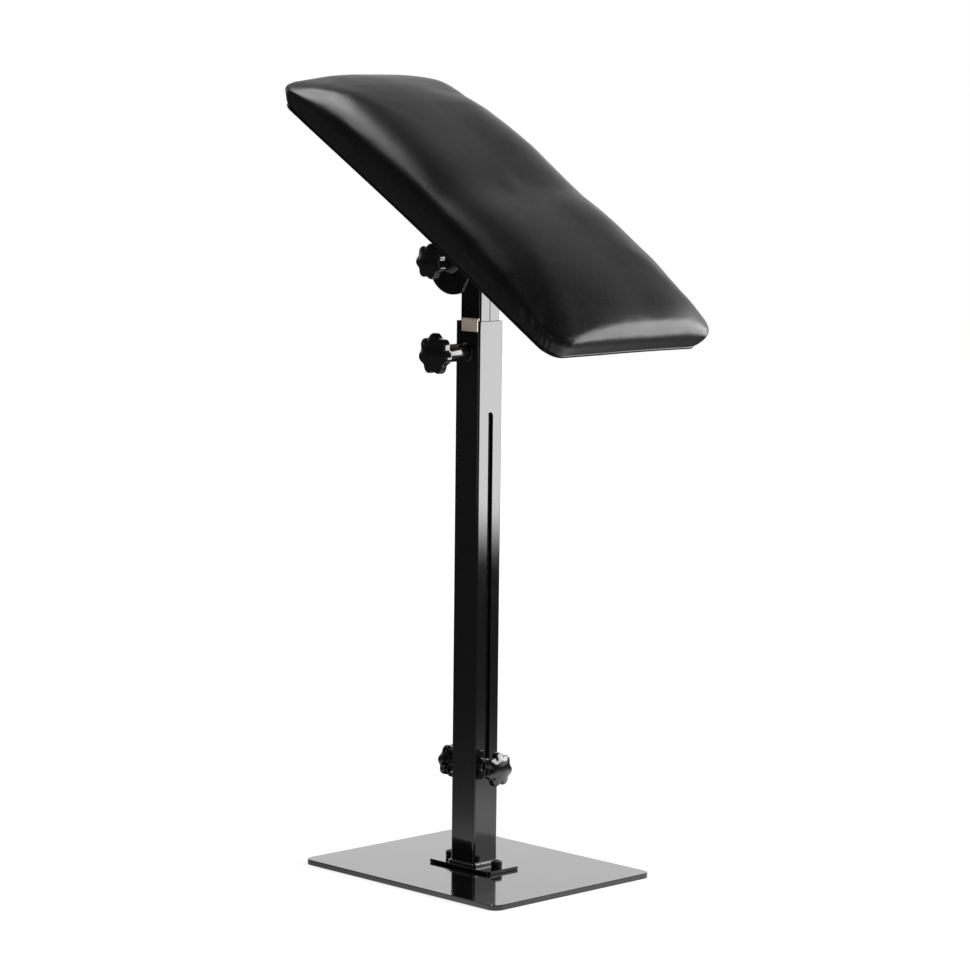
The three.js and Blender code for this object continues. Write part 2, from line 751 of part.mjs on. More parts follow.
const head = addPieces(new THREE.Group(), [
  ["saddle_bracket", saddleBracket(), glossPaint],
  ["pivot_bolt", pivotBolt(), brightSteel],
  ["pivot_washer", pivotWasher(), brightSteel],
  ["friction_washer_left", frictionWasher(towardsMinusY), nylon],
  ["friction_washer_right", frictionWasher(towardsPlusY), nylon],
  ["tilt_knob", tiltKnob(), knobPlastic],
  ["tilt_insert", tiltInsert(), brass],
  ["pad_board", padBoard(), plywood],
  ["pad_foam", padFoam(), foam],
  ["pad_cover", padCover(), vinyl],
  ["pad_liner", padLiner(), linerCloth],
]);
bracketScrewPlaces().forEach(([x, y], index) => addPieces(head, [
  [`bracket_screw_${index + 1}`, bracketScrew(x, y), blackOxide],
  [`tee_nut_${index + 1}`, teeNut(x, y), brightSteel],
]));
head.position.set(0, 0, pivotHeight);
head.rotation.y = tiltAngle;

const group = new THREE.Group();
group.add(stand, mast, head);

export default group;
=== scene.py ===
"""Tattoo armrest stand: finishes, rounded edges, threads, knobs and a padded vinyl arm rest.

Lengths are in metres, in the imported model's frame: +Z up, the pad's low end towards +X and the
clamp and tilt knobs towards -Y. Pieces of the head are drawn about the pivot with the pad level.
"""

import json
import math

import bmesh
import bpy
import numpy as np
from mathutils import Matrix, Vector


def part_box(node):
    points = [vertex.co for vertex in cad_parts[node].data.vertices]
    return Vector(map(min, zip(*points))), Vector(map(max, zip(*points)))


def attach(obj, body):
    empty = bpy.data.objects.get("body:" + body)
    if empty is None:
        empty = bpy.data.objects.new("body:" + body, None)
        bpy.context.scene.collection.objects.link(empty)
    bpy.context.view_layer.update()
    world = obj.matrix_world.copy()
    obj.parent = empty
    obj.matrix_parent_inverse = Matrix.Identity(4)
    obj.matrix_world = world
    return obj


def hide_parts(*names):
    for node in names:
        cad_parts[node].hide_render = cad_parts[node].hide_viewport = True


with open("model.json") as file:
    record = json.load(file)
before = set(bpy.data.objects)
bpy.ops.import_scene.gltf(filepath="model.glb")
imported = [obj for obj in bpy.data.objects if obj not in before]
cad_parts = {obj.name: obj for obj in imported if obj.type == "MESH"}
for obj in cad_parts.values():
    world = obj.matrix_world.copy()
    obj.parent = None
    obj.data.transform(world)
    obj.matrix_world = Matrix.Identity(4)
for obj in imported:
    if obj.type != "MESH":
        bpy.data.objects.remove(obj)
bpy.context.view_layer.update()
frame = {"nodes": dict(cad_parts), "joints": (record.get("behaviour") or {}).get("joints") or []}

mm = 0.001

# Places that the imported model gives
column_low, column_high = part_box("column_tube")
mast_low, mast_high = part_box("mast_tube")
strip_low, strip_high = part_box("pressure_strip")
joint_place = {joint["name"]: Vector(joint.get("pos_m", (0, 0, 0))) for joint in frame["joints"]}
pivot_height = joint_place["pad_tilt"].z
clamp_height = joint_place["clamp_knob_turn"].z
stud_height = joint_place["front_lock_turn"].z

# Column and mast
column_wall = 1.5 * mm
column_corner = 2.5 * mm
mast_wall = 1.2 * mm
mast_corner = 2.2 * mm
slot_width = 7 * mm
slot_travel = 317 * mm
clamp_hole_radius = 4.3 * mm
stud_hole_radius = 3.3 * mm
sleeve_hole_radius = 9.3 * mm

# Base plate and flange
base_corner = 10 * mm
flange_corner = 4 * mm
plate_edge_round = 0.7 * mm
flange_screw_spacing = 59 * mm
weld_radius = 1.9 * mm
bead_step = 0.5 * mm

# Screws, nuts and washers
cap_head_radius = 5 * mm
cap_head_height = 4.2 * mm
hex_socket_radius = 2.9 * mm
stud_radius = 3 * mm
clamp_thread_radius = 4 * mm
pivot_radius = 4 * mm
washer_radius = 11 * mm
coarse_pitch = 1.25 * mm
fine_pitch = 1 * mm
thread_depth_share = 0.55
clamp_nut_height = 6.5 * mm
nut_radius = 7.5 * mm

# Tilting head
tilt = math.radians(31.4)
bracket_span = 70 * mm
bracket_width = 50 * mm
bracket_thickness = 3 * mm
bracket_height = 30.7 * mm
bracket_bend = 4 * mm
ear_radius = 30 * mm
bracket_screw_spacing = (32 * mm, 40 * mm)
bracket_screw_length = 12 * mm
bolt_head_radius = 9.5 * mm
bolt_head_height = 4.5 * mm
pan_head_radius = 6 * mm
pan_head_height = 3.5 * mm
# Rows of the low screw head from its crown: shares of its height and radius
pan_head_shares = ((1, 0.55), (0.92, 0.72), (0.7, 0.9), (0.35, 1))

# Pressure strip
strip_thickness = 1 * mm
strip_lip = 9 * mm
strip_leg_end = 12.5 * mm

# Star knobs
knob_lobes = 7
knob_flutes = 12
# Sizes in millimetres: radius, head thickness, hub radii at tip and root, notch depth, dome height, bore
# radius and depth, and how far the dome stands past the CAD knob; last the collar's share of the hub
clamp_knob_sizes = (18.6, 9, 8, 10.5, 2.8, 1.2, 4.3, 14, 1.5, 0.62)
tilt_knob_sizes = (16, 10, 8, 10, 2.3, 1.2, 5.2, 16.3, 2, 0.4)
slide_knob_sizes = (15.8, 9.6, 7.6, 9, 2.1, 3, 4.8, 10.3, 0.9, 0.4)

# Pad
pad_length = 417 * mm
pad_width = 201.6 * mm
pad_edge_height = 36.7 * mm
pad_crown = 12.6 * mm
pad_shift = 9.8 * mm
pad_bulge = 8.1 * mm
pad_corner = 25.5 * mm
pad_corner_shares = (0.76, 1, 0.8, 1)
pad_side_draw = 3.4 * mm
pad_end_draw = 2.5 * mm
pad_end_sink = 4.2 * mm
pad_end_lean = 3.1 * mm
pad_corner_sink = 15.6 * mm
pad_inset = 0.4 * mm
pad_cell = 3.5 * mm
saddle_place = 12.8 * mm
board_thickness = 9 * mm
cover_thickness = 1 * mm
hem_width = 24 * mm
liner_thickness = 0.6 * mm
liner_margin = 11 * mm
staple_crown = 10 * mm
staple_wire = 0.8 * mm
staple_step = 7
clearance = 0.3 * mm
liner_bottom = bracket_height + clearance
pad_bottom = liner_bottom + liner_thickness + clearance
board_top = pad_bottom + cover_thickness + clearance + board_thickness

# Shares that shape the pad
pad_crown_power = 5.4
crown_lean_share = 0.12
saddle_dip_share = 0.24
saddle_length_share = 0.083
pad_side_shares = (
    (0, 0.92), (0.06, 0.76), (0.14, 0.6), (0.23, 0.42), (0.32, 0.24), (0.4, 0.08), (0.45, 0.01), (0.5, 0),
    (0.57, 0.015), (0.65, 0.05), (0.74, 0.12), (0.82, 0.22), (0.89, 0.34), (0.95, 0.5), (1, 0.83),
)
pad_top_shares = (0.95, 0.9, 0.82, 0.74, 0.64, 0.52, 0.4, 0.26, 0.13)
# Uneven padding on the far side: place along the pad as a share, and rise in millimetres
swells = (
    (-1, 3.2), (-0.9, 3.8), (-0.8, 0.2), (-0.72, -1), (-0.6, 1.6), (-0.45, 2.5), (-0.28, 2.9), (-0.15, 1.4),
    (-0.02, 0.5), (0.08, 0.3), (0.2, 1.7), (0.33, 2.1), (0.48, 1.9), (0.58, 2.7), (0.68, 2), (0.78, 2.6),
    (0.88, 5), (1, 8),
)
high_corner_drop = 6 * mm
low_rim_sag = 1.8 * mm
# Corner folds in millimetres: end, side, place round the corner, slant, half width, depth, height
corner_folds = (
    (1, -1, -33, -0.3, 4.5, 1.6, 32), (1, -1, -21, -0.3, 2.8, 1.7, 28), (1, -1, -14, -0.25, 2, 1.6, 26),
    (1, -1, -8.8, -0.2, 1.7, 1.5, 24), (1, -1, -4.4, -0.15, 1.5, 1.3, 21), (1, -1, 0.3, -0.1, 1.7, 1, 17),
    (-1, -1, -26, 0, 4, 1, 14), (-1, -1, -15, 0, 3.4, 1.5, 15), (-1, -1, -5, 0, 3, 1.5, 14),
    (-1, -1, 6, 0, 3, 1.2, 14),
    (1, 1, 2, 0.1, 1.5, 0.9, 22), (1, 1, -6, 0.2, 2.4, 0.8, 16), (1, 1, 10, 0, 2.4, 0.8, 14),
    (-1, 1, 0, 0.1, 1.8, 1, 18), (-1, 1, -8, 0.2, 2.4, 0.9, 15), (-1, 1, 9, 0, 2.8, 1, 14),
)
# How far the folds reach from a corner and over what they fade, in millimetres, and the finer cells' reach
fold_reach, fold_fade = 40, 12
finer_reach = 45 * mm

at_stud = Matrix.Translation((0, 0, stud_height))
at_clamp = Matrix.Translation((0, 0, clamp_height))
to_head = Matrix.Translation((0, 0, pivot_height)) @ Matrix.Rotation(tilt, 4, "Y")


# Node trees
def tuned(thing, **settings):
    for key, value in settings.items():
        setattr(thing, key, value)
    return thing


def node(tree, kind, values=None, **settings):
    """New node. A value that is a node or an output is linked; None leaves the input as it is."""
    made = tuned(tree.nodes.new(kind), **settings)
    for socket, value in (values or {}).items():
        if isinstance(value, bpy.types.Node):
            value = value.outputs[0]
        if isinstance(value, bpy.types.NodeSocket):
            tree.links.new(value, made.inputs[socket])
        elif value is not None:
            made.inputs[socket].default_value = value
    return made


def math_node(tree, operation, first, second=None):
    return node(tree, "ShaderNodeMath", {0: first, 1: second}, operation=operation)


def map_range(tree, value, start, end, low=0, high=1, kind="LINEAR"):
    values = {"Value": value, "From Min": start, "From Max": end, "To Min": low, "To Max": high}
    return node(tree, "ShaderNodeMapRange", values, interpolation_type=kind)


def mix_shader(tree, share, first, second):
    return node(tree, "ShaderNodeMixShader", {0: share, 1: first, 2: second})


# Shader groups shared by several finishes
def shader_group(name, inputs, *outputs):
    """Group of float sockets, with the sockets of its inputs and the place in the object's space."""
    group = bpy.data.node_groups.new(name, "ShaderNodeTree")
    for socket, value in inputs.items():
        made = group.interface.new_socket(socket, in_out="INPUT", socket_type="NodeSocketFloat")
        made.default_value = value
    for socket in outputs:
        group.interface.new_socket(socket, in_out="OUTPUT", socket_type="NodeSocketFloat")
    given = group.nodes.new("NodeGroupInput").outputs
    return group, given, group.nodes.new("ShaderNodeTexCoord").outputs["Object"]


def make_mottle():
    """Soft uneven patches, as dust, polish and handling leave them."""
    group, given, place = shader_group("mottle", {"Scale": 30, "Low": 0, "High": 1, "Streak": 1}, "Value")
    stretch = node(group, "ShaderNodeCombineXYZ", {"X": 1, "Y": 1, "Z": given["Streak"]})
    mapping = node(group, "ShaderNodeMapping", {"Scale": stretch, "Vector": place})
    values = {"Vector": mapping, "Scale": given["Scale"], "Detail": 5, "Roughness": 0.62}
    noise = node(group, "ShaderNodeTexNoise", values)
    patches = map_range(group, noise, 0.32, 0.68, given["Low"], given["High"])
    node(group, "NodeGroupOutput", {"Value": patches})
    return group


def make_fine_relief():
    """Small even unevenness: paint that flowed, moulded plastic, cast zinc."""
    group, given, place = shader_group("fine_relief", {"Scale": 400, "Detail": 2}, "Height")
    values = {"Vector": place, "Scale": given["Scale"], "Detail": given["Detail"], "Roughness": 0.5}
    node(group, "NodeGroupOutput", {"Height": node(group, "ShaderNodeTexNoise", values)})
    return group


def make_pebble_grain():
    """Pebbled grain of artificial leather: round cells with soft creases between them, and a mask of the
    creases that carries painted shade.
    """
    group, given, place = shader_group("pebble_grain", {"Scale": 650, "Crease": 0.12}, "Height", "Crease shade")
    warp = node(group, "ShaderNodeTexNoise", {"Vector": place, "Scale": 300, "Detail": 2})
    values = {0: warp.outputs["Color"], "Scale": 0.0012}
    shift = node(group, "ShaderNodeVectorMath", values, operation="SCALE")
    warped = node(group, "ShaderNodeVectorMath", {0: place, 1: shift}, operation="ADD")
    values = {"Vector": warped, "Scale": given["Scale"], "Randomness": 0.8}
    cells = node(group, "ShaderNodeTexVoronoi", values, feature="DISTANCE_TO_EDGE")
    rise = map_range(group, cells.outputs["Distance"], 0, given["Crease"], kind="SMOOTHSTEP")
    broad = node(group, "ShaderNodeTexNoise", {"Vector": place, "Scale": 120, "Detail": 3})
    height = math_node(group, "ADD", rise, math_node(group, "MULTIPLY", broad, 1.2))
    node(group, "NodeGroupOutput", {"Height": height, "Crease shade": math_node(group, "SUBTRACT", 1, rise)})
    return group


def make_brushed_lines():
    """Fine parallel lines along the piece's height, as rolled or drawn steel has."""
    group, given, place = shader_group(
        "brushed_lines", {"Scale": 900, "Along X": 1, "Along Y": 1, "Along Z": 0.03}, "Height")
    stretch = node(group, "ShaderNodeCombineXYZ", {axis: given[f"Along {axis}"] for axis in "XYZ"})
    mapping = node(group, "ShaderNodeMapping", {"Scale": stretch, "Vector": place})
    lines = node(group, "ShaderNodeTexNoise", {"Vector": mapping, "Scale": given["Scale"], "Detail": 3})
    node(group, "NodeGroupOutput", {"Height": lines})
    return group


def make_woven():
    """Cross weave of thin cloth."""
    group, given, place = shader_group("woven", {"Scale": 900}, "Height")
    values = {"Vector": place, "Scale": given["Scale"], "Distortion": 0.6, "Detail": 1}
    waves = [node(group, "ShaderNodeTexWave", values, bands_direction=axis).outputs[1] for axis in "XY"]
    node(group, "NodeGroupOutput", {"Height": math_node(group, "MAXIMUM", *waves)})
    return group


mottle = make_mottle()
fine_relief = make_fine_relief()
pebble_grain = make_pebble_grain()
brushed_lines = make_brushed_lines()
woven = make_woven()


# Finishes
class Finish:
    """One material under construction: a Principled shader and the effects that feed it."""

    def __init__(self, name, colour, roughness, **sockets):
        self.material = tuned(bpy.data.materials.new(name), use_nodes=True, diffuse_color=(*colour, 1))
        self.tree = self.material.node_tree
        self.shader = self.tree.nodes["Principled BSDF"]
        for socket, value in {"Base Color": (*colour, 1), "Roughness": roughness, **sockets}.items():
            self.shader.inputs[socket.replace("_", " ")].default_value = value

    def effect(self, group, **values):
        named = {socket.replace("_", " "): value for socket, value in values.items()}
        return node(self.tree, "ShaderNodeGroup", named, node_tree=group)

    def feed(self, output, socket):
        self.tree.links.new(output, self.shader.inputs[socket])

    def mottle_roughness(self, scale, low, high):
        self.feed(self.effect(mottle, Scale=scale, Low=low, High=high).outputs[0], "Roughness")

    def relief(self, *layers):
        """Bump nodes in a row: each layer is an effect, a depth in metres and a strength."""
        bump = None
        for effect, depth, strength in layers:
            values = {"Distance": depth, "Strength": strength, "Height": effect, "Normal": bump}
            bump = node(self.tree, "ShaderNodeBump", values)
        self.feed(bump.outputs[0], "Normal")

    def tint(self, share, first, second):
        values = {"A": (*first, 1), "B": (*second, 1), "Factor": share}
        mix = node(self.tree, "ShaderNodeMix", values, data_type="RGBA")
        self.feed(mix.outputs["Result"], "Base Color")


def uneven_finish(name, colour, roughness, mottling, fine, **sockets):
    """Mottled roughness (scale, low, high) over a fine relief (scale, detail, depth in metres, strength)."""
    made = Finish(name, colour, roughness, **sockets)
    scale, detail, depth, strength = fine
    made.mottle_roughness(*mottling)
    made.relief((made.effect(fine_relief, Scale=scale, Detail=detail), depth, strength))
    return made.material


def make_zinc_strip():
    made = Finish("zinc_strip", (0.62, 0.52, 0.41), 0.42, Metallic=0.35)
    made.tint(made.effect(mottle, Scale=140, Low=0, High=1), (0.66, 0.555, 0.44), (0.54, 0.455, 0.36))
    made.relief((made.effect(brushed_lines, Scale=1400, Along_X=0.04, Along_Z=1), 0.00003, 0.5))
    return made.material


def make_brass():
    made = Finish("turned_brass", (0.6, 0.42, 0.18), 0.28, Metallic=1)
    made.mottle_roughness(400, 0.2, 0.4)
    made.relief((made.effect(brushed_lines, Scale=2200, Along_X=1, Along_Z=1, Along_Y=0.1), 0.00002, 0.4))
    return made.material


def make_plywood():
    made = Finish("birch_plywood", (0.48, 0.31, 0.17), 0.7)
    grain = made.effect(mottle, Scale=260, Low=0, High=1, Streak=0.2)
    made.tint(grain, (0.52, 0.35, 0.2), (0.36, 0.22, 0.11))
    made.relief((grain, 0.0001, 0.3))
    return made.material


def make_vinyl():
    made = Finish("black_vinyl", (0.005, 0.005, 0.0055), 0.32, Specular_IOR_Level=0.5)
    grain = made.effect(pebble_grain, Scale=560, Crease=0.25)
    wrinkles = made.effect(fine_relief, Scale=55, Detail=4)
    made.mottle_roughness(26, 0.27, 0.36)
    # Painted shade: the grain's creases are coloured darker, as shade would fall in them.
    made.tint(grain.outputs["Crease shade"], (0.0055, 0.0055, 0.006), (0.003, 0.003, 0.0033))
    made.relief((wrinkles, 0.0003, 0.15), (grain, 0.00011, 0.35))
    return made.material


def make_liner_cloth():
    made = Finish("liner_cloth", (0.012, 0.012, 0.012), 0.95, Sheen_Weight=0.15)
    made.tint(made.effect(mottle, Scale=50, Low=0, High=1), (0.016, 0.016, 0.016), (0.009, 0.009, 0.01))
    made.relief((made.effect(woven, Scale=260), 0.0002, 0.6))
    return made.material


gloss_paint = uneven_finish("gloss_black_paint", (0.004, 0.004, 0.0045), 0.1, (60, 0.08, 0.15),
                            (260, 1, 0.00002, 0.35), Coat_Weight=1, Coat_Roughness=0.06)
weld_paint = uneven_finish("painted_weld", (0.004, 0.004, 0.0045), 0.1, (250, 0.06, 0.22),
                           (700, 3, 0.0006, 0.8), Coat_Weight=1, Coat_Roughness=0.05)
black_oxide = uneven_finish("black_oxide_steel", (0.02, 0.02, 0.021), 0.3, (300, 0.22, 0.42),
                            (1800, 3, 0.00004, 0.5), Metallic=0.75)
bright_steel = uneven_finish("bright_zinc_steel", (0.5, 0.5, 0.49), 0.25, (260, 0.18, 0.38),
                             (1500, 3, 0.00003, 0.4), Metallic=0.95)
knob_plastic = uneven_finish("black_knob_plastic", (0.005, 0.005, 0.0052), 0.1, (120, 0.06, 0.16),
                             (500, 2, 0.00004, 0.4), Coat_Weight=1, Coat_Roughness=0.04)
nylon = uneven_finish("black_nylon", (0.012, 0.012, 0.013), 0.45, (200, 0.38, 0.55), (1200, 2, 0.00004, 0.5))
zinc_strip = make_zinc_strip()
brass = make_brass()
plywood = make_plywood()
vinyl = make_vinyl()
liner_cloth = make_liner_cloth()


# Mesh tools
def shares(steps):
    """Even shares from zero to one."""
    return [step / steps for step in range(steps + 1)]


def new_object(name, mesh):
    thing = bpy.data.objects.new(name, mesh)
    bpy.context.scene.collection.objects.link(thing)
    return thing


def mesh_object(name, vertices, faces):
    mesh = bpy.data.meshes.new(name)
    mesh.from_pydata([tuple(v) for v in vertices], [], faces)
    return new_object(name, mesh)


def applied(thing):
    """The object's modifiers become its mesh."""
    graph = bpy.context.evaluated_depsgraph_get()
    mesh = bpy.data.meshes.new_from_object(thing.evaluated_get(graph), depsgraph=graph)
    thing.modifiers.clear()
    thing.data = mesh
    return thing


def skin(name, rings, loops=False):
    """Closed skin through equal rings of points, with flat ends or running back into itself."""
    count = len(rings[0])
    vertices = [point for ring in rings for point in ring]
    faces = []
    for row in range(len(rings) - (0 if loops else 1)):
        low = row * count
        high = (row + 1) % len(rings) * count
        for step in range(count):
            after = (step + 1) % count
            faces.append((low + step, low + after, high + after, high + step))
    if not loops:
        faces.append(tuple(reversed(range(count))))
        faces.append(tuple(range(len(vertices) - count, len(vertices))))
    return mesh_object(name, vertices, faces)


def on_arc(x, y, radius, angle):
    return x + radius * math.cos(angle), y + radius * math.sin(angle)


def circle(radius, z, segments, ripple=None):
    points = []
    for step in range(segments):
        angle = 2 * math.pi * step / segments
        reach = radius - (ripple(angle) if ripple else 0)
        points.append(Vector((*on_arc(0, 0, reach, angle), z)))
    return points


def turned(name, rows, segments=48):
    """Solid turned about Z from rows of height and radius."""
    return skin(name, [circle(radius, z, segments) for z, radius in rows])


def rounded_square(size, radius, z, steps=8, width=None):
    points = []
    half_x, half_y = size / 2 - radius, (width or size) / 2 - radius
    corners = ((half_x, half_y), (-half_x, half_y), (-half_x, -half_y), (half_x, -half_y))
    for index, (x, y) in enumerate(corners):
        for share in shares(steps):
            points.append(Vector((*on_arc(x, y, radius, (index + share) * math.pi / 2), z)))
    return points


def turn_towards(direction):
    return Vector((0, 0, 1)).rotation_difference(Vector(direction)).to_matrix().to_4x4()


def standing(place, direction):
    """Takes what is drawn along +Z to a place, along a direction."""
    return Matrix.Translation(place) @ turn_towards(direction)


def moved(thing, matrix):
    thing.data.transform(matrix)
    return thing


def cut(thing, cutters, operation="DIFFERENCE"):
    for cutter in cutters:
        tuned(thing.modifiers.new("cut", "BOOLEAN"), operation=operation, solver="EXACT", object=cutter)
    applied(thing)
    for cutter in cutters:
        bpy.data.objects.remove(cutter)
    return thing


def softened(thing, width=0.0, angle=math.radians(28)):
    """Small rounds on sharp edges and normals that keep flat faces flat."""
    if width:
        tuned(thing.modifiers.new("round", "BEVEL"), width=width, segments=2, limit_method="ANGLE",
              angle_limit=angle)
        applied(thing)
    work = bmesh.new()
    work.from_mesh(thing.data)
    for face in work.faces:
        face.smooth = True
    for edge in work.edges:
        edge.smooth = len(edge.link_faces) == 2 and edge.calc_face_angle(0) < angle
    work.to_mesh(thing.data)
    work.free()
    thing.modifiers.new("flat faces", "WEIGHTED_NORMAL").keep_sharp = True
    return applied(thing)


def join_objects(name, things):
    work = bmesh.new()
    for thing in things:
        work.from_mesh(thing.data)
        bpy.data.objects.remove(thing)
    mesh = bpy.data.meshes.new(name)
    work.to_mesh(mesh)
    work.free()
    return new_object(name, mesh)


def seat(thing, body, material, nodes=()):
    """Last step of every piece: its finish, the body that it moves with and the nodes it stands for."""
    thing.data.materials.clear()
    thing.data.materials.append(material)
    thing.data.polygons.foreach_set("material_index", [0] * len(thing.data.polygons))
    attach(thing, body)
    if nodes:
        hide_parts(*nodes)
    return thing


# Geometry Nodes trees
def geometry_tree(name, *inputs, kind="NodeSocketFloat"):
    """Tree that takes a geometry, the named inputs and a material, with the sockets of them all."""
    tree = bpy.data.node_groups.new(name, "GeometryNodeTree")
    named = [(socket, kind) for socket in inputs]
    for socket, made in (("Geometry", "NodeSocketGeometry"), *named, ("Material", "NodeSocketMaterial")):
        tree.interface.new_socket(socket, in_out="INPUT", socket_type=made)
    tree.interface.new_socket("Geometry", in_out="OUTPUT", socket_type="NodeSocketGeometry")
    return tree, tree.nodes.new("NodeGroupInput").outputs


def ended(tree, given, result):
    """The tree with its result realized and given its material."""
    realized = node(tree, "GeometryNodeRealizeInstances", {0: result})
    finish = node(tree, "GeometryNodeSetMaterial", {"Geometry": realized, "Material": given["Material"]})
    node(tree, "NodeGroupOutput", {0: finish})
    return tree


def grown(name, thing, tree, values):
    """The tree's result on an object, as a plain mesh object of its own."""
    modifier = tuned(thing.modifiers.new(name, "NODES"), node_group=tree)
    for item in tree.interface.items_tree:
        if item.in_out == "INPUT" and item.name in values:
            modifier[item.identifier] = values[item.name]
    return tuned(applied(thing), name=name)


def make_repeat_tree():
    """One drawn piece at each point."""
    tree, given = geometry_tree("repeat_at_points", "Piece", kind="NodeSocketObject")
    piece = node(tree, "GeometryNodeObjectInfo", {"Object": given["Piece"]}).outputs["Geometry"]
    copies = node(tree, "GeometryNodeInstanceOnPoints", {"Points": given["Geometry"], "Instance": piece})
    return ended(tree, given, copies)


def make_thread_tree():
    """Screw thread: a core with a ridge that winds round it."""
    tree, given = geometry_tree("wound_thread", "Radius", "Depth", "Length", "Turns")
    inner = math_node(tree, "SUBTRACT", given["Radius"], given["Depth"])
    spiral = node(tree, "GeometryNodeCurveSpiral", {
        "Resolution": 20, "Rotations": given["Turns"], "Start Radius": inner, "End Radius": inner,
        "Height": given["Length"]})
    ridge = node(tree, "GeometryNodeCurvePrimitiveCircle", {"Resolution": 4, "Radius": given["Depth"]})
    values = {"Curve": spiral, "Profile Curve": ridge, "Fill Caps": True}
    sweep = node(tree, "GeometryNodeCurveToMesh", values)
    core = node(tree, "GeometryNodeMeshCylinder", {"Vertices": 24, "Radius": inner, "Depth": given["Length"]})
    centre = node(tree, "ShaderNodeCombineXYZ", {"Z": math_node(tree, "MULTIPLY", given["Length"], 0.5)})
    lift = node(tree, "GeometryNodeTransform", {"Geometry": core, "Translation": centre})
    joined = node(tree, "GeometryNodeJoinGeometry", {0: sweep})
    tree.links.new(lift.outputs[0], joined.inputs[0])
    return ended(tree, given, joined)


def make_bead_tree():
    """Rippled bead of a weld along the edges that it is given."""
    tree, given = geometry_tree("rippled_bead", "Radius", "Step", "Ripple", "Ripple length")
    line = node(tree, "GeometryNodeMeshToCurve", {"Mesh": given["Geometry"]})
    even = node(tree, "GeometryNodeResampleCurve", {"Curve": line, "Length": given["Step"]}, mode="LENGTH")
    along = node(tree, "GeometryNodeSplineParameter").outputs["Length"]
    wave = math_node(tree, "FRACT", math_node(tree, "DIVIDE", along, given["Ripple length"]))
    share = math_node(tree, "SUBTRACT", 1.0, math_node(tree, "MULTIPLY", wave, given["Ripple"]))
    thick = node(tree, "GeometryNodeSetCurveRadius", {"Curve": even, "Radius": share})
    section = node(tree, "GeometryNodeCurvePrimitiveCircle", {"Resolution": 10, "Radius": given["Radius"]})
    sweep = node(tree, "GeometryNodeCurveToMesh", {"Curve": thick, "Profile Curve": section})
    return ended(tree, given, node(tree, "GeometryNodeSetShadeSmooth", {0: sweep}))


repeat_tree = make_repeat_tree()
thread_tree = make_thread_tree()
bead_tree = make_bead_tree()


def repeated(name, drawn, places, material):
    """Copies of a drawn piece, one at each place, as one mesh."""
    points = mesh_object(name, places, [])
    made = grown(name, points, repeat_tree, {"Piece": drawn, "Material": material})
    bpy.data.objects.remove(drawn)
    return made


def thread(name, radius, length, pitch, material):
    """Threaded rod along +Z from the origin."""
    values = {"Radius": radius, "Depth": thread_depth_share * pitch / 2, "Length": length,
              "Turns": length / pitch, "Material": material}
    return grown(name, mesh_object(name, [(0, 0, 0)], []), thread_tree, values)


def bead(name, loop, radius, material, ripple_length=2.2 * mm, ripple=0.16):
    """Bead along a closed loop of points."""
    mesh = bpy.data.meshes.new(name)
    count = len(loop)
    mesh.from_pydata([tuple(p) for p in loop], [(i, (i + 1) % count) for i in range(count)], [])
    values = {"Radius": radius, "Step": bead_step, "Ripple length": ripple_length, "Ripple": ripple,
              "Material": material}
    return grown(name, new_object(name, mesh), bead_tree, values)


# Stand
def rounded_plate(name, low, high, corner, edge):
    """Plate with rounded corners and softly broken edges."""
    length, width = high.x - low.x, high.y - low.y
    centre = (low + high) / 2
    rows = ((low.z, edge), (low.z + edge / 2, edge * 0.15), (low.z + edge, 0),
            (high.z - edge, 0), (high.z - edge / 2, edge * 0.15), (high.z, edge))
    rings = [rounded_square(length - 2 * inset, corner - inset, z, 12, width - 2 * inset)
             for z, inset in rows]
    return moved(skin(name, rings), Matrix.Translation((centre.x, centre.y, 0)))


def rod(name, radius, start, end, segments=32):
    """Plain round bar between two points."""
    start, end = Vector(start), Vector(end)
    bar = turned(name, [(0, radius), ((end - start).length, radius)], segments)
    return moved(bar, standing(start, (end - start).normalized()))


def screw_places(height=0.0):
    return [Vector((side * flange_screw_spacing / 2, 0, height)) for side in (-1, 1)]


def make_base():
    reach = Vector((0, 0, 0.05))
    for name, node_name, corner, edge in (
        ("base_plate_steel", "base_plate", base_corner, plate_edge_round),
        ("foot_flange", "flange_plate", flange_corner, plate_edge_round / 2),
    ):
        plate = rounded_plate(name, *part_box(node_name), corner, edge)
        cut(plate, [rod("hole", stud_hole_radius, place - reach, place + reach) for place in screw_places()])
        seat(softened(plate), "stand", gloss_paint, [node_name])


def cap_screw(length):
    """Socket cap screw with its head above zero, knurled on its side, and its shank below."""
    knurls = 36
    top = cap_head_height

    def knurl(angle):
        return 0.09 * mm * (1 + math.cos(knurls * angle))

    rows = [(-length, stud_radius, None), (0, stud_radius, None), (0, cap_head_radius - 0.3 * mm, None),
            (0.4 * mm, cap_head_radius, knurl), (top - 1.4 * mm, cap_head_radius, knurl),
            (top - 1.2 * mm, cap_head_radius - 0.15 * mm, None),
            (top - 0.5 * mm, cap_head_radius - 0.3 * mm, None), (top, cap_head_radius - 0.9 * mm, None)]
    head = skin("cap_screw", [circle(radius, z, 4 * knurls, ripple) for z, radius, ripple in rows])
    socket = turned("socket", [(top - 3 * mm, hex_socket_radius), (top + mm, hex_socket_radius)], 6)
    return softened(cut(head, [socket]))


def flat_washer(radius, bore, thickness, segments=48):
    """Washer standing on zero, its rim lightly rounded."""
    edge = thickness / 5
    rows = ((bore, 0), (radius - edge, 0), (radius, edge), (radius, thickness - edge),
            (radius - edge, thickness), (bore, thickness))
    return softened(skin("washer", [circle(reach, z, segments) for reach, z in rows], loops=True))


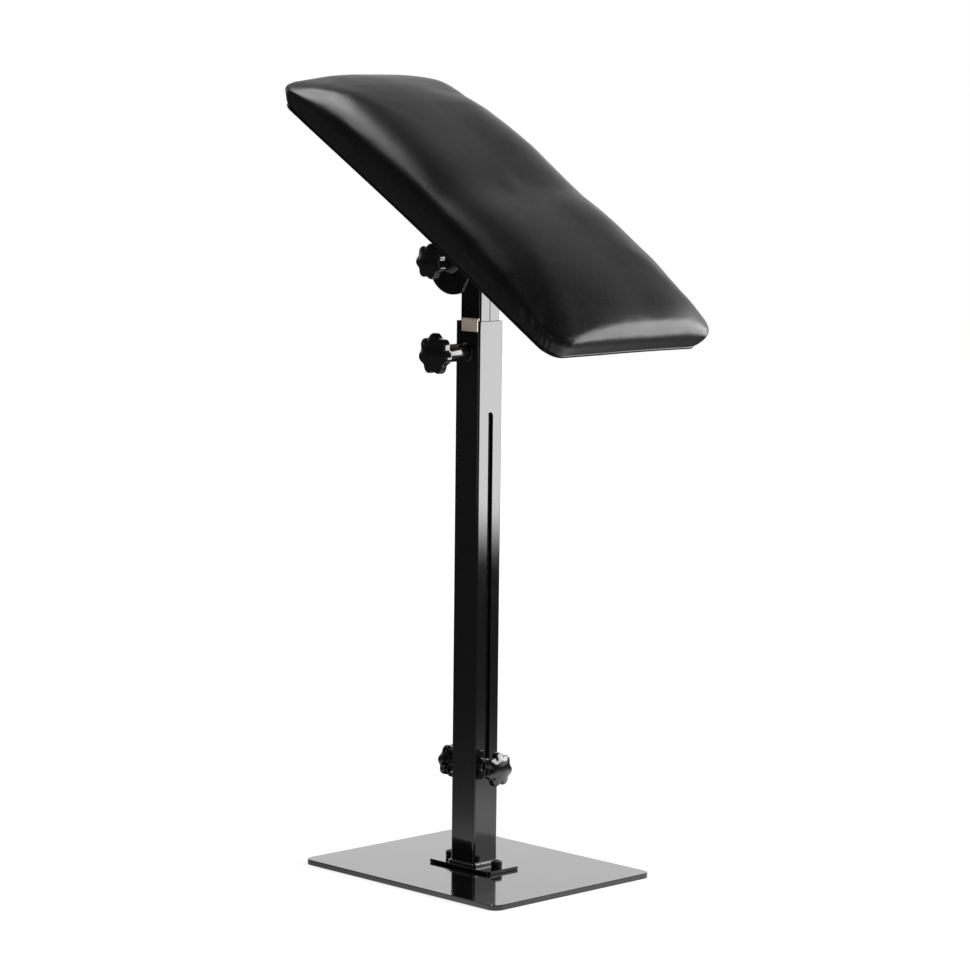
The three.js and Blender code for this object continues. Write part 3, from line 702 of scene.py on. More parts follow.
def make_foot_fasteners():
    washer_low, washer_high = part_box("flange_washer_front")
    screw_low, screw_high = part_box("flange_screw_front")
    head_bottom = screw_high.z - cap_head_height
    washer = flat_washer((washer_high.x - washer_low.x) / 2, stud_hole_radius, washer_high.z - washer_low.z)
    for name, drawn, height, replaced in (
        ("foot_washers", washer, washer_low.z, "flange_washer"),
        ("foot_screws", cap_screw(head_bottom - screw_low.z), head_bottom, "flange_screw"),
    ):
        fasteners = repeated(name, drawn, screw_places(height), black_oxide)
        seat(fasteners, "stand", black_oxide, [f"{replaced}_front", f"{replaced}_rear"])


def square_tube(name, low, high, wall, corner):
    """Open square tube with rounded corners and lightly broken rims."""
    centre = (low + high) / 2
    size = high.x - low.x
    bore = size - 2 * wall
    edge = wall / 5
    inner = max(corner - wall, wall / 2)
    rows = ((bore, inner, low.z), (size - 2 * edge, corner - edge, low.z), (size, corner, low.z + edge),
            (size, corner, high.z - edge), (size - 2 * edge, corner - edge, high.z), (bore, inner, high.z))
    tube = skin(name, [rounded_square(*row) for row in rows], loops=True)
    return moved(tube, Matrix.Translation((centre.x, centre.y, 0)))


def slot_cutter(side):
    """Bar with round ends, as long as the slot, that reaches through one wall."""
    points = []
    for half, z in ((0, stud_height + slot_travel), (1, stud_height)):
        points += [on_arc(0, z, slot_width / 2, (half + share) * math.pi) for share in shares(24)]
    ends = sorted((side * column_high.x / 2, side * column_high.x * 2))
    return skin("slot", [[Vector((x, y, z)) for y, z in points] for x in ends])


def make_column():
    tube = square_tube("column", column_low, column_high, column_wall, column_corner)
    clamp_hole = rod("hole", clamp_hole_radius, (0, -0.05, clamp_height), (0, 0, clamp_height))
    cut(tube, [slot_cutter(1), slot_cutter(-1), clamp_hole])
    seat(softened(tube), "stand", gloss_paint, ["column_tube"])


def make_foot_weld():
    """Fillet that runs round the column's foot, in fish-scale ripples."""
    size = column_high.x - column_low.x
    loop = rounded_square(size + 1.2 * mm, column_corner, column_low.z + 0.9 * mm, 6)
    seat(bead("foot_weld", loop, weld_radius, weld_paint), "stand", weld_paint, ["column_weld"])


def hex_nut(height, radius, bore):
    """Hexagon nut on zero, its corners turned down at both faces."""
    body = turned("nut", [(0, radius), (height, radius)], 6)
    drop = radius * 0.1
    cone = turned("cone", [(0, radius - drop), (drop * 0.6, radius), (height - drop * 0.6, radius),
                           (height, radius - drop)])
    cut(body, [cone], "INTERSECT")
    return softened(cut(body, [rod("bore", bore, (0, 0, -mm), (0, 0, height + mm))]), 0.25 * mm)


def make_clamp_nut():
    seat_y = -column_high.x - clearance
    nut = hex_nut(clamp_nut_height, nut_radius, clamp_hole_radius)
    seat(moved(nut, standing((0, seat_y, clamp_height), (0, -1, 0))), "stand", gloss_paint, ["clamp_nut"])
    loop = [Vector((q.x, seat_y - 0.2 * mm, q.y)) + Vector((0, 0, clamp_height))
            for q in circle(nut_radius - 0.4 * mm, 0, 36)]
    seat(bead("nut_weld", loop, 1.1 * mm, weld_paint, 1.8 * mm, 0.3), "stand", weld_paint)


def make_strip():
    """Spring steel strip: a lip outside, over the rim, a leg inside."""
    half = strip_thickness / 2
    lip_y, leg_y = strip_low.y + half, strip_high.y - half
    lip_end, top = column_high.z - strip_lip, strip_high.z - half
    bend = (leg_y - lip_y) / 2
    path = [(lip_y - 0.25 * mm, lip_end), (lip_y, lip_end + 0.8 * mm), (lip_y, top - bend)]
    path += [on_arc(lip_y + bend, top - bend, bend, math.pi * (1 - share)) for share in shares(10)[1:-1]]
    path += [(leg_y, top - bend), (leg_y, strip_low.z)]
    rings = []
    for index, (y, z) in enumerate(path):
        before, after = Vector(path[max(index - 1, 0)]), Vector(path[min(index + 1, len(path) - 1)])
        along = (after - before).normalized()
        side = Vector((-along.y, along.x)) * half
        left, right = strip_low.x, strip_leg_end
        if z > lip_end - mm and y < -column_high.x + column_wall:
            right = strip_high.x
        rings.append([Vector((x, y + out * side.x, z + out * side.y))
                      for x, out in ((left, -1), (left, 1), (right, 1), (right, -1))])
    seat(softened(skin("spring_strip", rings), 0.15 * mm), "stand", zinc_strip, ["pressure_strip"])


# Star knobs
def star_knob(name, sizes, length, turn):
    """Star knob along +Z: hub tip at zero, smooth collar, fluted hub, lobed head with a recessed back."""
    radius, head, hub_tip, hub_root, notch, dome, bore, bore_depth, past = (size * mm for size in sizes[:-1])
    height = length + past
    back = height - head
    collar = back * sizes[-1]
    flute_depth, back_round, face_round = 0.9 * mm, 1.9 * mm, 2 * mm
    # Rows of height, radius, share of the lobes and depth of the flutes, from the hub's tip to the face
    rows = [(0, hub_tip - 0.6 * mm, 0, 0), (0.5 * mm, hub_tip, 0, 0), (collar, hub_tip + 0.2 * mm, 0, 0)]
    for share in shares(8):
        flute = flute_depth * math.sin(math.pi * (0.15 + 0.75 * share))
        rows.append((collar + share * (back + 1.2 * mm - collar),
                     hub_tip + 0.2 * mm + (hub_root - hub_tip) * share ** 1.6, 0, flute))
    rows += [(back + 1.5 * mm, hub_root + 1.2 * mm, 0, 0),
             (back + 1.3 * mm, radius - notch - 3.4 * mm, 0.1, 0),
             (back + 0.3 * mm, radius - notch - 1.6 * mm, 0.75, 0), (back, radius - 2.4 * mm, 1, 0)]
    quarter = [(1 - math.cos(share * math.pi / 2), 1 - math.sin(share * math.pi / 2)) for share in shares(6)]
    rows += [(back + back_round * up, radius - back_round * inward, 1, 0) for up, inward in quarter]
    face = height - dome
    rows += [(face - face_round * down, radius - face_round * inward, 1, 0) for inward, down in quarter]
    rows += [(face + dome * (1 - share ** 2.0), (radius - face_round) * share, share ** 6, 0)
             for share in (0.8, 0.62, 0.44, 0.28, 0.14, 0.05)]

    def reach(angle, lobed, flute):
        wave = (1 - math.cos(knob_lobes * (angle - math.radians(turn)))) / 2
        rib = max(0.0, math.cos(knob_flutes * angle)) ** 0.7 if flute else 0
        return lobed * notch * wave ** 1.25 + flute * rib

    rings = [circle(r, z, knob_lobes * 16, lambda angle: reach(angle, lobed, flute))
             for z, r, lobed, flute in rows]
    knob = cut(skin(name, rings), [rod("bore", bore, (0, 0, -mm), (0, 0, bore_depth))])
    return softened(knob, angle=math.radians(50))


def place_on_axis(thing, direction, distance, base):
    """A piece drawn along +Z, turned outward from the base's centre with its zero at a distance."""
    return moved(thing, base @ standing(Vector(direction) * distance, direction))


def knob_seat(node_name, axis):
    """How far out a CAD node begins and ends along an axis."""
    reaches = [abs(corner[axis]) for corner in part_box(node_name)]
    return min(reaches), max(reaches)


def make_knobs():
    for name, body, replaced, sizes, turn, direction, base in (
        ("front_lock_knob", "front_lock", "slide_knob_front", slide_knob_sizes, 30, (1, 0, 0), at_stud),
        ("rear_lock_knob", "rear_lock", "slide_knob_rear", slide_knob_sizes, 23, (-1, 0, 0), at_stud),
        ("clamp_star_knob", "clamp", "clamp_knob", clamp_knob_sizes, -13, (0, -1, 0), at_clamp),
        ("tilt_star_knob", "tilt_lock", "tilt_knob", tilt_knob_sizes, 8, (0, -1, 0), to_head),
    ):
        start, end = knob_seat(replaced, 0 if direction[0] else 1)
        knob = star_knob(name, sizes, end - start, turn)
        seat(place_on_axis(knob, direction, start, base), body, knob_plastic, [replaced])


def make_clamp_screw():
    low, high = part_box("clamp_screw")
    screw = thread("clamp_thread", clamp_thread_radius, high.y - low.y, coarse_pitch, bright_steel)
    moved(screw, standing((0, high.y, clamp_height), (0, -1, 0)))
    seat(screw, "clamp", bright_steel, ["clamp_screw"])


# Mast
def make_mast():
    tube = square_tube("mast", mast_low, mast_high, mast_wall, mast_corner)
    centre_y = (mast_low.y + mast_high.y) / 2
    reach = mast_high.x * 2
    stud_hole = rod("hole", stud_hole_radius, (-reach, 0, stud_height), (reach, 0, stud_height))
    sleeve_hole = rod("hole", sleeve_hole_radius, (0, -reach, pivot_height), (0, reach, pivot_height), 48)
    cut(tube, [stud_hole, sleeve_hole])
    seat(softened(tube), "mast", gloss_paint, ["mast_tube"])
    seam = rod("seam", 0.35 * mm, (mast_high.x, centre_y, mast_low.z + 5 * mm),
               (mast_high.x, centre_y, mast_high.z - 4 * mm), 8)
    seat(softened(seam), "mast", weld_paint)


def make_pivot_sleeve():
    low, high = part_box("pivot_sleeve")
    sleeve = flat_washer((high.x - low.x) / 2, pivot_radius + clearance, high.y - low.y, 64)
    moved(sleeve, standing((0, high.y, pivot_height), (0, -1, 0)))
    seat(sleeve, "mast", gloss_paint, ["pivot_sleeve"])


def make_stud():
    low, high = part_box("slide_stud")
    stud = thread("lock_stud", stud_radius, high.x - low.x, fine_pitch, bright_steel)
    moved(stud, standing((low.x, 0, stud_height), (1, 0, 0)))
    seat(stud, "mast", bright_steel, ["slide_stud"])
    for side, end in ((1, "front"), (-1, "rear")):
        near, far = knob_seat(f"slide_washer_{end}", 0)
        low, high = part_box(f"slide_washer_{end}")
        washer = flat_washer((high.z - low.z) / 2, stud_hole_radius, far - near)
        tuned(place_on_axis(washer, (side, 0, 0), near, at_stud), name=f"lock_washer_{end}")
        seat(washer, "mast", bright_steel, [f"slide_washer_{end}"])


# Tilting head
def bracket_section():
    """The bent sheet seen along X, as (y, z): its outer face, then its inner one on the way back."""
    outer, inner = [], []
    half = bracket_span / 2
    centre = (half - bracket_bend, bracket_height - bracket_bend)
    for path, shift in ((outer, 0), (inner, bracket_thickness)):
        radius = bracket_bend - shift
        path.append((half - shift, -ear_radius - 2 * mm))
        path += [on_arc(*centre, radius, share * math.pi / 2) for share in shares(8)]
    mirrored_outer, mirrored_inner = ([(-y, z) for y, z in path] for path in (outer, inner))
    return outer + mirrored_outer[::-1] + mirrored_inner + inner[::-1]


def ear_outline():
    half = bracket_width / 2
    start = math.asin(half / ear_radius)
    points = [(half, bracket_height + mm), (-half, bracket_height + mm)]
    steps = 40
    for step in range(steps + 1):
        points.append(on_arc(0, 0, ear_radius, -math.pi / 2 - start + 2 * start * step / steps))
    return points


def make_bracket():
    section = bracket_section()
    half = bracket_width / 2
    channel = skin("tilt_bracket", [[Vector((x, y, z)) for y, z in section] for x in (-half, half)])
    ears = skin("ears", [[Vector((x, y, z)) for x, z in ear_outline()]
                         for y in (bracket_span, -bracket_span)])
    cut(channel, [ears], "INTERSECT")
    holes = [rod("hole", pivot_radius + clearance, (0, -bracket_span, 0), (0, bracket_span, 0))]
    for x, y in bracket_screw_places():
        holes.append(rod("hole", stud_hole_radius, (x, y, 0), (x, y, 2 * bracket_height)))
    cut(channel, holes)
    softened(channel, 0.35 * mm)
    seat(moved(channel, to_head), "head", gloss_paint, ["saddle_bracket"])


def bracket_screw_places():
    x, y = (spacing / 2 for spacing in bracket_screw_spacing)
    return [(x, y), (-x, y), (x, -y), (-x, -y)]


def make_bracket_screws():
    top = bracket_height - bracket_thickness - clearance
    head = pan_head_height
    rows = [(top - head * down, pan_head_radius * out) for down, out in pan_head_shares]
    rows += [(top, pan_head_radius), (top, stud_radius), (top + bracket_screw_length, stud_radius)]
    socket = turned("socket", [(top - head - mm, hex_socket_radius), (top - head / 2, hex_socket_radius)], 6)
    screw = softened(cut(turned("pan_screw", rows), [socket]))
    places = [Vector((x, y, 0)) for x, y in bracket_screw_places()]
    screws = repeated("bracket_screws", screw, places, black_oxide)
    nodes = [f"bracket_screw_{number}" for number in range(1, 5)]
    seat(moved(screws, to_head), "head", black_oxide, nodes)


def make_pivot_bolt():
    """Square-necked bolt with a domed head at +Y and a threaded end at -Y."""
    low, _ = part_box("pivot_bolt")
    seat_y = bracket_span / 2 + clearance
    angles = [share * math.pi / 2 for share in shares(12)]
    rows = [(bolt_head_height * math.sin(angle), max(bolt_head_radius * math.cos(angle), 0.2 * mm))
            for angle in angles]
    dome = turned("dome", [(0, pivot_radius), (0, bolt_head_radius - 0.3 * mm), *rows])
    moved(dome, standing((0, seat_y, 0), (0, 1, 0)))
    plain_end = -bracket_span / 2 + bracket_thickness
    shank = rod("shank", pivot_radius, (0, plain_end, 0), (0, seat_y, 0))
    neck = skin("neck", [rounded_square(2 * pivot_radius, 0.6 * mm, z) for z in (0, bracket_thickness)])
    moved(neck, turn_towards((0, 1, 0)))
    moved(neck, Matrix.Translation((0, bracket_span / 2 - bracket_thickness, 0)))
    cut(dome, [shank, neck], "UNION")
    softened(dome)
    tip = thread("tip", pivot_radius, plain_end - low.y, coarse_pitch, bright_steel)
    moved(tip, standing((0, plain_end, 0), (0, -1, 0)))
    bolt = join_objects("pivot_carriage_bolt", [dome, tip])
    seat(moved(bolt, to_head), "head", bright_steel, ["pivot_bolt"])


def make_pivot_washers():
    for replaced, name, material in (
        ("pivot_washer", "knob_washer", bright_steel),
        ("friction_washer_left", "friction_disc_left", nylon),
        ("friction_washer_right", "friction_disc_right", nylon),
    ):
        low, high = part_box(replaced)
        washer = flat_washer(washer_radius, pivot_radius + clearance, high.y - low.y)
        moved(washer, to_head @ standing((0, high.y, 0), (0, -1, 0)))
        seat(tuned(washer, name=name), "head", material, [replaced])


# Pad
def pad_ring(inset, height, corner_steps=10, side_step=4 * mm):
    """The pad's outline at one height: drawn-in sides between rounded corners."""
    half_length, half_width = pad_length / 2 - inset, pad_width / 2 - inset
    signs = ((1, 1), (-1, 1), (-1, -1), (1, -1))
    corners = []
    for (end, side), share in zip(signs, pad_corner_shares):
        radius = max(pad_corner * share - inset, pad_corner / 4)
        corners.append((Vector((end * (half_length - radius), side * (half_width - radius))), radius))
    points = []
    for index, (centre, radius) in enumerate(corners):
        for step in range(corner_steps):
            angle = (index + step / corner_steps) * math.pi / 2
            points.append(centre + radius * Vector((math.cos(angle), math.sin(angle))))
        angle = (index + 1) * math.pi / 2
        outward = Vector((math.cos(angle), math.sin(angle)))
        next_centre, next_radius = corners[(index + 1) % 4]
        side = (pad_length if index % 2 == 0 else pad_width) - 2 * pad_corner
        steps = round(side / side_step)
        for step in range(steps):
            points.append((centre + radius * outward).lerp(next_centre + next_radius * outward, step / steps))
    ring = []
    for px, py in points:
        along, across = px / half_length, py / half_width
        end_draw = pad_end_draw * (0.3 if along > 0 else 1)
        px -= end_draw * along * (1 - across ** 2) ** 2 + pad_shift
        py -= pad_side_draw * across * (1 - along ** 2) ** 2
        ring.append(Vector((px, py, height)))
    return ring


def crown_share(x, share):
    dip = math.exp(-(((x - saddle_place) / (saddle_length_share * pad_length)) ** 2))
    saddle = 1 - saddle_dip_share * dip
    return (1 - share ** pad_crown_power) * saddle * (1 - crown_lean_share * x / (pad_length / 2))


def sunk(point, low):
    """The padding above the board leans in at the ends and sinks there, most at the corners."""
    high = pad_bottom + pad_edge_height
    along = (point.x + pad_shift) / (pad_length / 2)
    across = point.y / (pad_width / 2)
    sink = pad_end_sink * along ** 4 + pad_corner_sink * (along * across) ** 2
    share = min(max((point.z - low) / (high - low), 0), 1)
    lean = pad_end_lean * share ** 2 * along ** 3
    return Vector((point.x - lean, point.y, point.z - sink * share ** 1.4))


def pad_form(name, inset):
    """Closed form of the padded body, taken in all round by an inset."""
    bottom, top = pad_bottom + cover_thickness, pad_bottom + pad_edge_height - inset
    low = board_top + clearance
    rings = [pad_ring(inset + share * pad_bulge, bottom + height * (top - bottom))
             for height, share in pad_side_shares]
    rim = rings[-1]
    for share in pad_top_shares:
        rings.append([
            Vector(((p.x + pad_shift) * share - pad_shift, p.y * share,
                    top + pad_crown * crown_share((p.x + pad_shift) * share, share))) for p in rim])
    return skin(name, [[sunk(p, low) for p in ring] for ring in rings])


def read_triples(collection, key):
    values = np.zeros(len(collection) * 3, np.float32)
    collection.foreach_get(key, values)
    return values.reshape(-1, 3)


def evaluated_points(thing):
    shape = thing.evaluated_get(bpy.context.evaluated_depsgraph_get()).data
    return read_triples(shape.vertices, "co")


def points_of(mesh):
    return read_triples(mesh.vertices, "co").astype(float)


def set_points(mesh, points):
    mesh.vertices.foreach_set("co", points.astype(np.float32).ravel())
    mesh.update()


def ramp(values, start, span):
    """Rises from zero to one over a span."""
    return np.clip((values - start) / span, 0, 1)


def along_and_across(points):
    """Where points lie on the pad, as shares of half its length and width."""
    return (points[:, 0] + pad_shift) / (pad_length / 2), points[:, 1] / (pad_width / 2)


def evened(mesh, values, rounds):
    """Values at a mesh's points, each averaged with its neighbours again and again."""
    pairs = np.zeros(len(mesh.edges) * 2, np.int32)
    mesh.edges.foreach_get("vertices", pairs)
    first, second = pairs.reshape(-1, 2).T
    count = np.bincount(pairs, minlength=len(values)).reshape(-1, 1)
    for _ in range(rounds):
        total = np.zeros_like(values)
        np.add.at(total, first, values[second])
        np.add.at(total, second, values[first])
        values = (values + total / count) / 2
    return values


def inflate(pad, most=12 * mm, frames=20, folds=0.1):
    """Cloth under pressure folds and swells the cover; its folds are kept and its form stays as drawn."""
    held = pad.vertex_groups.new(name="on_the_board")
    start = evaluated_points(pad)
    flat = np.where(start[:, 2] < pad_bottom + 4 * mm)[0]
    held.add([int(i) for i in flat], 1, "REPLACE")
    cloth = pad.modifiers.new("swell", "CLOTH")
    tuned(cloth.settings, use_pressure=True, uniform_pressure_force=4, vertex_group_mass=held.name, quality=5,
          tension_stiffness=18, compression_stiffness=18, bending_stiffness=1.2)
    cloth.settings.effector_weights.gravity = 0
    tuned(cloth.point_cache, frame_start=1, frame_end=frames)
    for number in range(1, frames + 1):
        bpy.context.scene.frame_set(number)
    step = evaluated_points(pad) - start
    length = np.linalg.norm(step, axis=1, keepdims=True)
    step = step * np.minimum(1, most / np.maximum(length, 1e-9))
    kept = start + (step - evened(pad.data, step, 60)) * folds
    bpy.context.scene.frame_set(1)
    pad.modifiers.clear()
    pad.vertex_groups.clear()
    set_points(pad.data, kept)


def sag_rim(mesh):
    """The gathered cover hangs a little lower along the low end's rim."""
    points = points_of(mesh)
    along, across = along_and_across(points)
    near = ramp(along, 0.92, 0.07) * ramp(-across, -0.45, 0.75)
    points[:, 2] -= low_rim_sag * near * (1 - ramp(points[:, 2], pad_bottom, 20 * mm))
    set_points(mesh, points)


def settle_padding(mesh):
    """The padding lies a little unevenly: higher along the far side, lower at the high near corner."""
    points = points_of(mesh)
    along, across = along_and_across(points)
    rise = np.interp(along, *zip(*swells)) * mm
    far = ramp(across, 0.1, 0.65)
    up = ramp(points[:, 2], board_top, pad_edge_height - board_thickness)
    points[:, 2] += rise * far ** 2 * (3 - 2 * far) * up
    corner = ramp(-along, 0.72, 0.28) * ramp(-across, 0.45, 0.55)
    points[:, 2] -= high_corner_drop * corner * up
    set_points(mesh, points)


def even_top(mesh):
    """Evens out the small dents that the remesh leaves on the broad top."""
    points = points_of(mesh)
    top = np.clip((points[:, 2] - board_top) / (18 * mm) - 0.6, 0, 1)[:, None]
    set_points(mesh, points + (evened(mesh, points, 14) - points) * top)


def fold_corners(mesh):
    """Folds where the cover is gathered round the corners: finer cells there, then narrow hollows."""
    build = bmesh.new()
    build.from_mesh(mesh)
    inner = Vector((pad_length / 2 - finer_reach, pad_width / 2 - finer_reach, 0))
    near = {v for v in build.verts if abs(v.co.x + pad_shift) > inner.x and abs(v.co.y) > inner.y
            and v.co.z < board_top + finer_reach / 2}
    edges = [edge for edge in build.edges if edge.verts[0] in near and edge.verts[1] in near]
    bmesh.ops.subdivide_edges(build, edges=edges, cuts=1, smooth=0.6, use_grid_fill=True)
    build.to_mesh(mesh)
    build.free()
    points = points_of(mesh)
    level = read_triples(mesh.vertex_normals, "vector").astype(float)
    level[:, 2] = 0
    up = (points[:, 2] - pad_bottom) / mm
    press = np.zeros(len(points))
    for end, side, place, slant, half_width, depth, height in corner_folds:
        past_end = (end * (points[:, 0] + pad_shift) - pad_length / 2 + pad_corner) / mm
        past_side = (side * points[:, 1] - pad_width / 2 + pad_corner) / mm
        turn = (past_end - past_side) / math.sqrt(2)
        here = ramp(past_end, -fold_reach, fold_fade) * ramp(past_side, -fold_reach, fold_fade)
        groove = np.exp(-(((turn - place - slant * up) / half_width) ** 2)) * depth
        press += groove * np.clip(1 - up / height, 0, 1) ** 0.8 * here
    set_points(mesh, points - level * (press * mm)[:, None])


def make_pad():
    pad = pad_form("arm_pad", pad_inset)
    tuned(pad.modifiers.new("even cells", "REMESH"), mode="VOXEL", voxel_size=pad_cell)
    applied(pad)
    pad.modifiers.new("even out", "SMOOTH").iterations = 2
    applied(pad)
    inflate(pad)
    tuned(pad.modifiers.new("finer", "SUBSURF"), levels=1, render_levels=1)
    applied(pad)
    for change in (settle_padding, even_top, sag_rim, fold_corners):
        change(pad.data)
    pad.data.polygons.foreach_set("use_smooth", [True] * len(pad.data.polygons))
    seat(moved(pad, to_head), "head", vinyl, ["pad_foam", "pad_cover"])


def make_liner():
    inset = pad_bulge + liner_margin
    rows = ((inset + 0.4 * mm, liner_bottom), (inset, liner_bottom + liner_thickness / 2),
            (inset + 0.4 * mm, liner_bottom + liner_thickness))
    liner = skin("pad_dust_cover", [pad_ring(*row) for row in rows])
    holes = [rod("hole", stud_hole_radius, (x, y, 0), (x, y, board_top)) for x, y in bracket_screw_places()]
    seat(moved(softened(cut(liner, holes)), to_head), "head", liner_cloth, ["pad_liner"])


def make_hem():
    """Cover turned under the board: a flat band, rolled at the pad's lower edge."""
    outer, inner = pad_bulge + 0.3 * mm, pad_bulge + hem_width
    rows = ((outer, 0.2), (outer + 0.8 * mm, 0), (outer + 6 * mm, 0), (inner, 0), (inner, 1), (outer, 1))
    rings = [pad_ring(inset, pad_bottom + up * cover_thickness * 0.85, 16) for inset, up in rows]
    hem = softened(skin("turned_hem", rings, loops=True))
    loop = pad_ring(pad_bulge + 2.3 * mm, pad_bottom + 0.5 * mm, 16)
    roll = bead("hem_roll", loop, 1.9 * mm, vinyl, 9 * mm, 0.06)
    for piece in (hem, roll):
        sag_rim(piece.data)
        seat(moved(piece, to_head), "head", vinyl)


def make_staples():
    """Staples through the liner and the hem, along the liner's edge."""
    ring = pad_ring(pad_bulge + liner_margin + 5 * mm, liner_bottom - staple_wire / 2)
    rows = ([], [])
    for index in range(0, len(ring), staple_step):
        run = ring[(index + 1) % len(ring)] - ring[index]
        if min(abs(run.x), abs(run.y)) < 0.15 * max(abs(run.x), abs(run.y)):
            rows[abs(run.y) > abs(run.x)].append(ring[index])
    half = Vector((staple_crown, staple_wire, staple_wire)) / 2
    parts = []
    for places, reach in zip(rows, (half, Vector((half.y, half.x, half.z)))):
        staple = rounded_plate("staple", -reach, reach, 0.35 * mm, 0.2 * mm)
        parts.append(repeated("staples", staple, places, bright_steel))
    seat(moved(join_objects("staples", parts), to_head), "head", bright_steel)


def dress_cad_nodes():
    """CAD nodes that stay as they are, with their own finishes."""
    for node_name, material in (
        ("mast_plug", nylon), ("mast_cap", nylon), ("slide_insert_front", brass),
        ("slide_insert_rear", brass), ("tilt_insert", brass), ("pad_board", plywood),
        *((f"tee_nut_{n}", bright_steel) for n in range(1, 5)),
    ):
        kept = frame["nodes"][node_name]
        kept.data.materials.clear()
        kept.data.materials.append(material)


# Studio
camera_turn = math.radians(45.613)
camera_dip = math.radians(6.625)
camera_roll = math.radians(0.628)
camera_distance = 3.1007
camera_lens = 128.73
camera_aim = (6.487 * mm, 351.59 * mm)
pure_white = (1, 1, 1, 1)
floor_radius = 6
# Direction of the bright backdrop, and the floor's glowing patch that shows in reflections: a painted pool of
# light near the object
behind = (-0.5, 0.86, 0)
mirror_centre = (0.12, 0.12, 0)
mirror_reach = 0.31
mirror_fade_power = 3.5


def make_camera():
    flat = math.cos(camera_dip)
    look = Vector((-math.sin(camera_turn) * flat, math.cos(camera_turn) * flat, -math.sin(camera_dip)))
    right = Vector((math.cos(camera_turn), math.sin(camera_turn), 0))
    up = right.cross(look)
    rolled_right = right * math.cos(camera_roll) + up * math.sin(camera_roll)
    rolled_up = up * math.cos(camera_roll) - right * math.sin(camera_roll)
    place = right * camera_aim[0] + Vector((0, 0, camera_aim[1])) - look * camera_distance
    data = tuned(bpy.data.cameras.new("camera"), lens=camera_lens, sensor_width=36, clip_start=0.1,
                 clip_end=50)
    camera = new_object("camera", data)
    turn = Matrix((rolled_right, rolled_up, -look)).transposed().to_4x4()
    camera.matrix_world = Matrix.Translation(place) @ turn
    bpy.context.scene.camera = camera


def area_light(name, place, aim, size, power, glossy=True, soft_edge=0.0):
    """Soft lamp aimed at a point; a soft edge lets it fade out over that share of its lower height."""
    data = tuned(bpy.data.lights.new(name, "AREA"), shape="RECTANGLE", energy=power)
    data.size, data.size_y = size
    if soft_edge:
        data.use_nodes = True
        tree = data.node_tree
        surface = tree.nodes.new("ShaderNodeNewGeometry").outputs["Parametric"]
        up = node(tree, "ShaderNodeSeparateXYZ", {0: surface}).outputs["Y"]
        fade = map_range(tree, up, 0, soft_edge, kind="SMOOTHSTEP")
        tree.links.new(fade.outputs[0], tree.nodes["Emission"].inputs["Strength"])
    light = tuned(new_object(name, data), location=place, visible_camera=False, visible_glossy=glossy)
    light.rotation_euler = (Vector(aim) - Vector(place)).to_track_quat("-Z", "Y").to_euler()


def empty_tree(owner):
    owner.use_nodes = True
    owner.node_tree.nodes.clear()
    return owner.node_tree


def make_world():
    """White to the camera; in reflections bright behind the object, dim above, dark in front."""
    world = bpy.context.scene.world = bpy.data.worlds.new("studio")
    tree = empty_tree(world)
    path = tree.nodes.new("ShaderNodeLightPath").outputs
    place = tree.nodes.new("ShaderNodeTexCoord").outputs["Generated"]
    facing = node(tree, "ShaderNodeVectorMath", {0: place, 1: behind}, operation="DOT_PRODUCT")
    up = node(tree, "ShaderNodeSeparateXYZ", {0: place}).outputs["Z"]
    bright = map_range(tree, facing.outputs["Value"], -0.15, 0.35, 0.02, 1.18, "SMOOTHSTEP")
    level = math_node(tree, "MULTIPLY", bright, map_range(tree, up, -0.03, 0.01, 0.04, 1))
    level = math_node(tree, "MULTIPLY", level, map_range(tree, up, 0.22, 0.86, 1, 0.1))
    white = node(tree, "ShaderNodeBackground", {"Color": pure_white, "Strength": 1})
    ambient = node(tree, "ShaderNodeBackground", {"Color": pure_white, "Strength": 0.3})
    mirrored = node(tree, "ShaderNodeBackground", {"Strength": level})
    direct = math_node(tree, "MAXIMUM", path["Is Camera Ray"], path["Is Transmission Ray"])
    light = mix_shader(tree, path["Is Glossy Ray"], ambient, mirrored)
    node(tree, "ShaderNodeOutputWorld", {"Surface": mix_shader(tree, direct, light, white)})


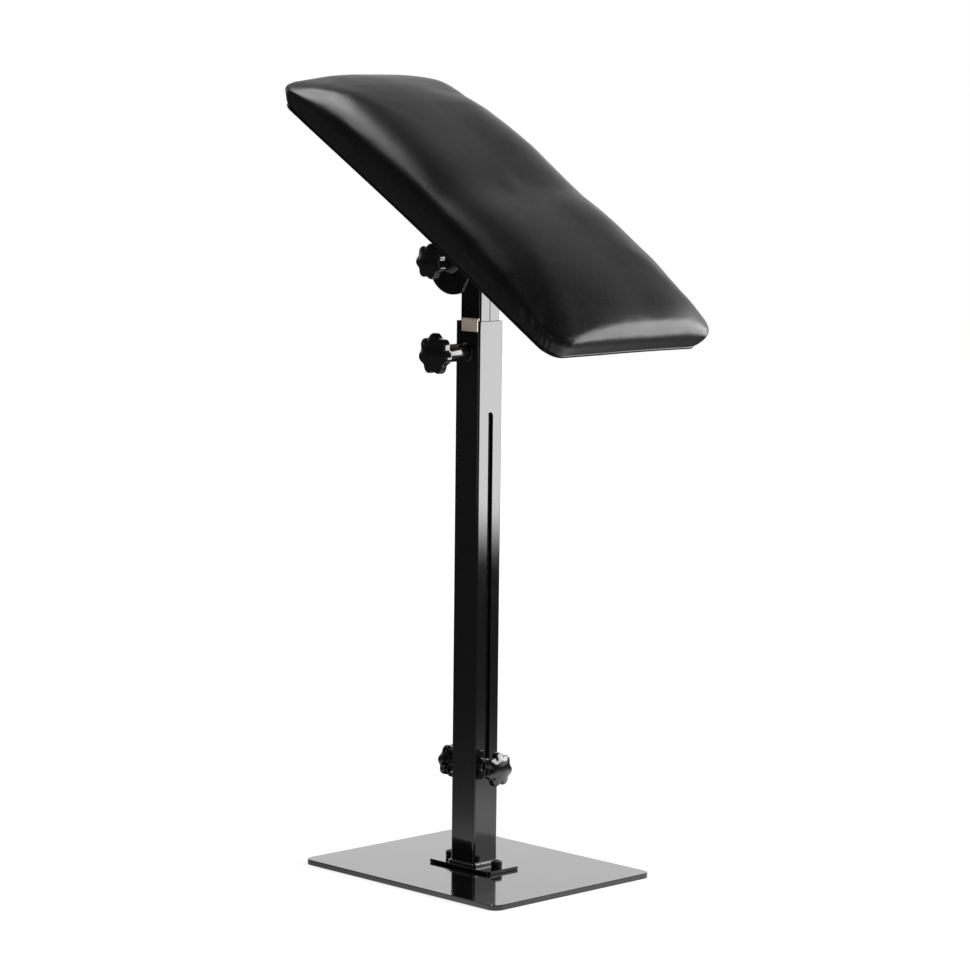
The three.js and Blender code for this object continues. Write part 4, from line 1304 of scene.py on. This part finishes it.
def make_floor():
    """Pale floor: white to the camera where no shadow falls; in reflections a painted pool of light near the
    object, fading out further away.
    """
    floor = mesh_object("floor", circle(floor_radius, 0, 64), [tuple(range(64))])
    material = bpy.data.materials.new("studio_floor")
    tree = empty_tree(material)
    path = tree.nodes.new("ShaderNodeLightPath").outputs
    place = tree.nodes.new("ShaderNodeTexCoord").outputs["Object"]
    length = node(tree, "ShaderNodeVectorMath", {0: place}, operation="LENGTH").outputs["Value"]
    # Painted light: a glow seen only in reflections, brightest near the object, stands in for the floor lit
    # there.
    patch = node(tree, "ShaderNodeVectorMath", {0: place, 1: mirror_centre}, operation="DISTANCE")
    spread = math_node(tree, "DIVIDE", patch.outputs["Value"], mirror_reach)
    spread = math_node(tree, "POWER", spread, mirror_fade_power)
    fade = math_node(tree, "DIVIDE", 0.95, math_node(tree, "ADD", spread, 1))
    matt = node(tree, "ShaderNodeBsdfDiffuse", {"Color": (0.36, 0.36, 0.36, 1)})
    strengths = map_range(tree, length, 0.3, 1.3, 0.78, 1), math_node(tree, "ADD", fade, 0.03)
    glow, mirrored = (node(tree, "ShaderNodeEmission", {"Color": pure_white, "Strength": strength})
                      for strength in strengths)
    both = node(tree, "ShaderNodeAddShader", {0: matt, 1: glow})
    surface = mix_shader(tree, path["Is Glossy Ray"], both, mirrored)
    node(tree, "ShaderNodeOutputMaterial", {"Surface": surface})
    floor.data.materials.append(material)


def make_lights():
    area_light("right_softbox", (0.47, 0.47, 0.515), (0, 0, 0.515), (0.7, 0.65), 8.6, soft_edge=0.11)
    area_light("front_softbox", (0.8, -1.75, 0.75), (0, 0, 0.75), (0.4, 1.3), 1.8)
    area_light("top_softbox", (-0.55, -0.05, 1.9), (-0.1, 0, 0.7), (0.42, 0.5), 6)
    area_light("front_fill", (1.6, -1.8, 1.4), (0, 0, 0.4), (0.8, 0.8), 2, glossy=False)


bpy.context.scene.view_settings.view_transform = "Standard"
for make in (
    make_camera, make_world, make_floor, make_lights, make_base, make_foot_fasteners, make_column,
    make_foot_weld, make_clamp_nut, make_strip, make_clamp_screw, make_mast, make_pivot_sleeve, make_stud,
    make_bracket, make_bracket_screws, make_pivot_bolt, make_pivot_washers, make_knobs, make_pad, make_liner,
    make_hem, make_staples, dress_cad_nodes,
):
    make()
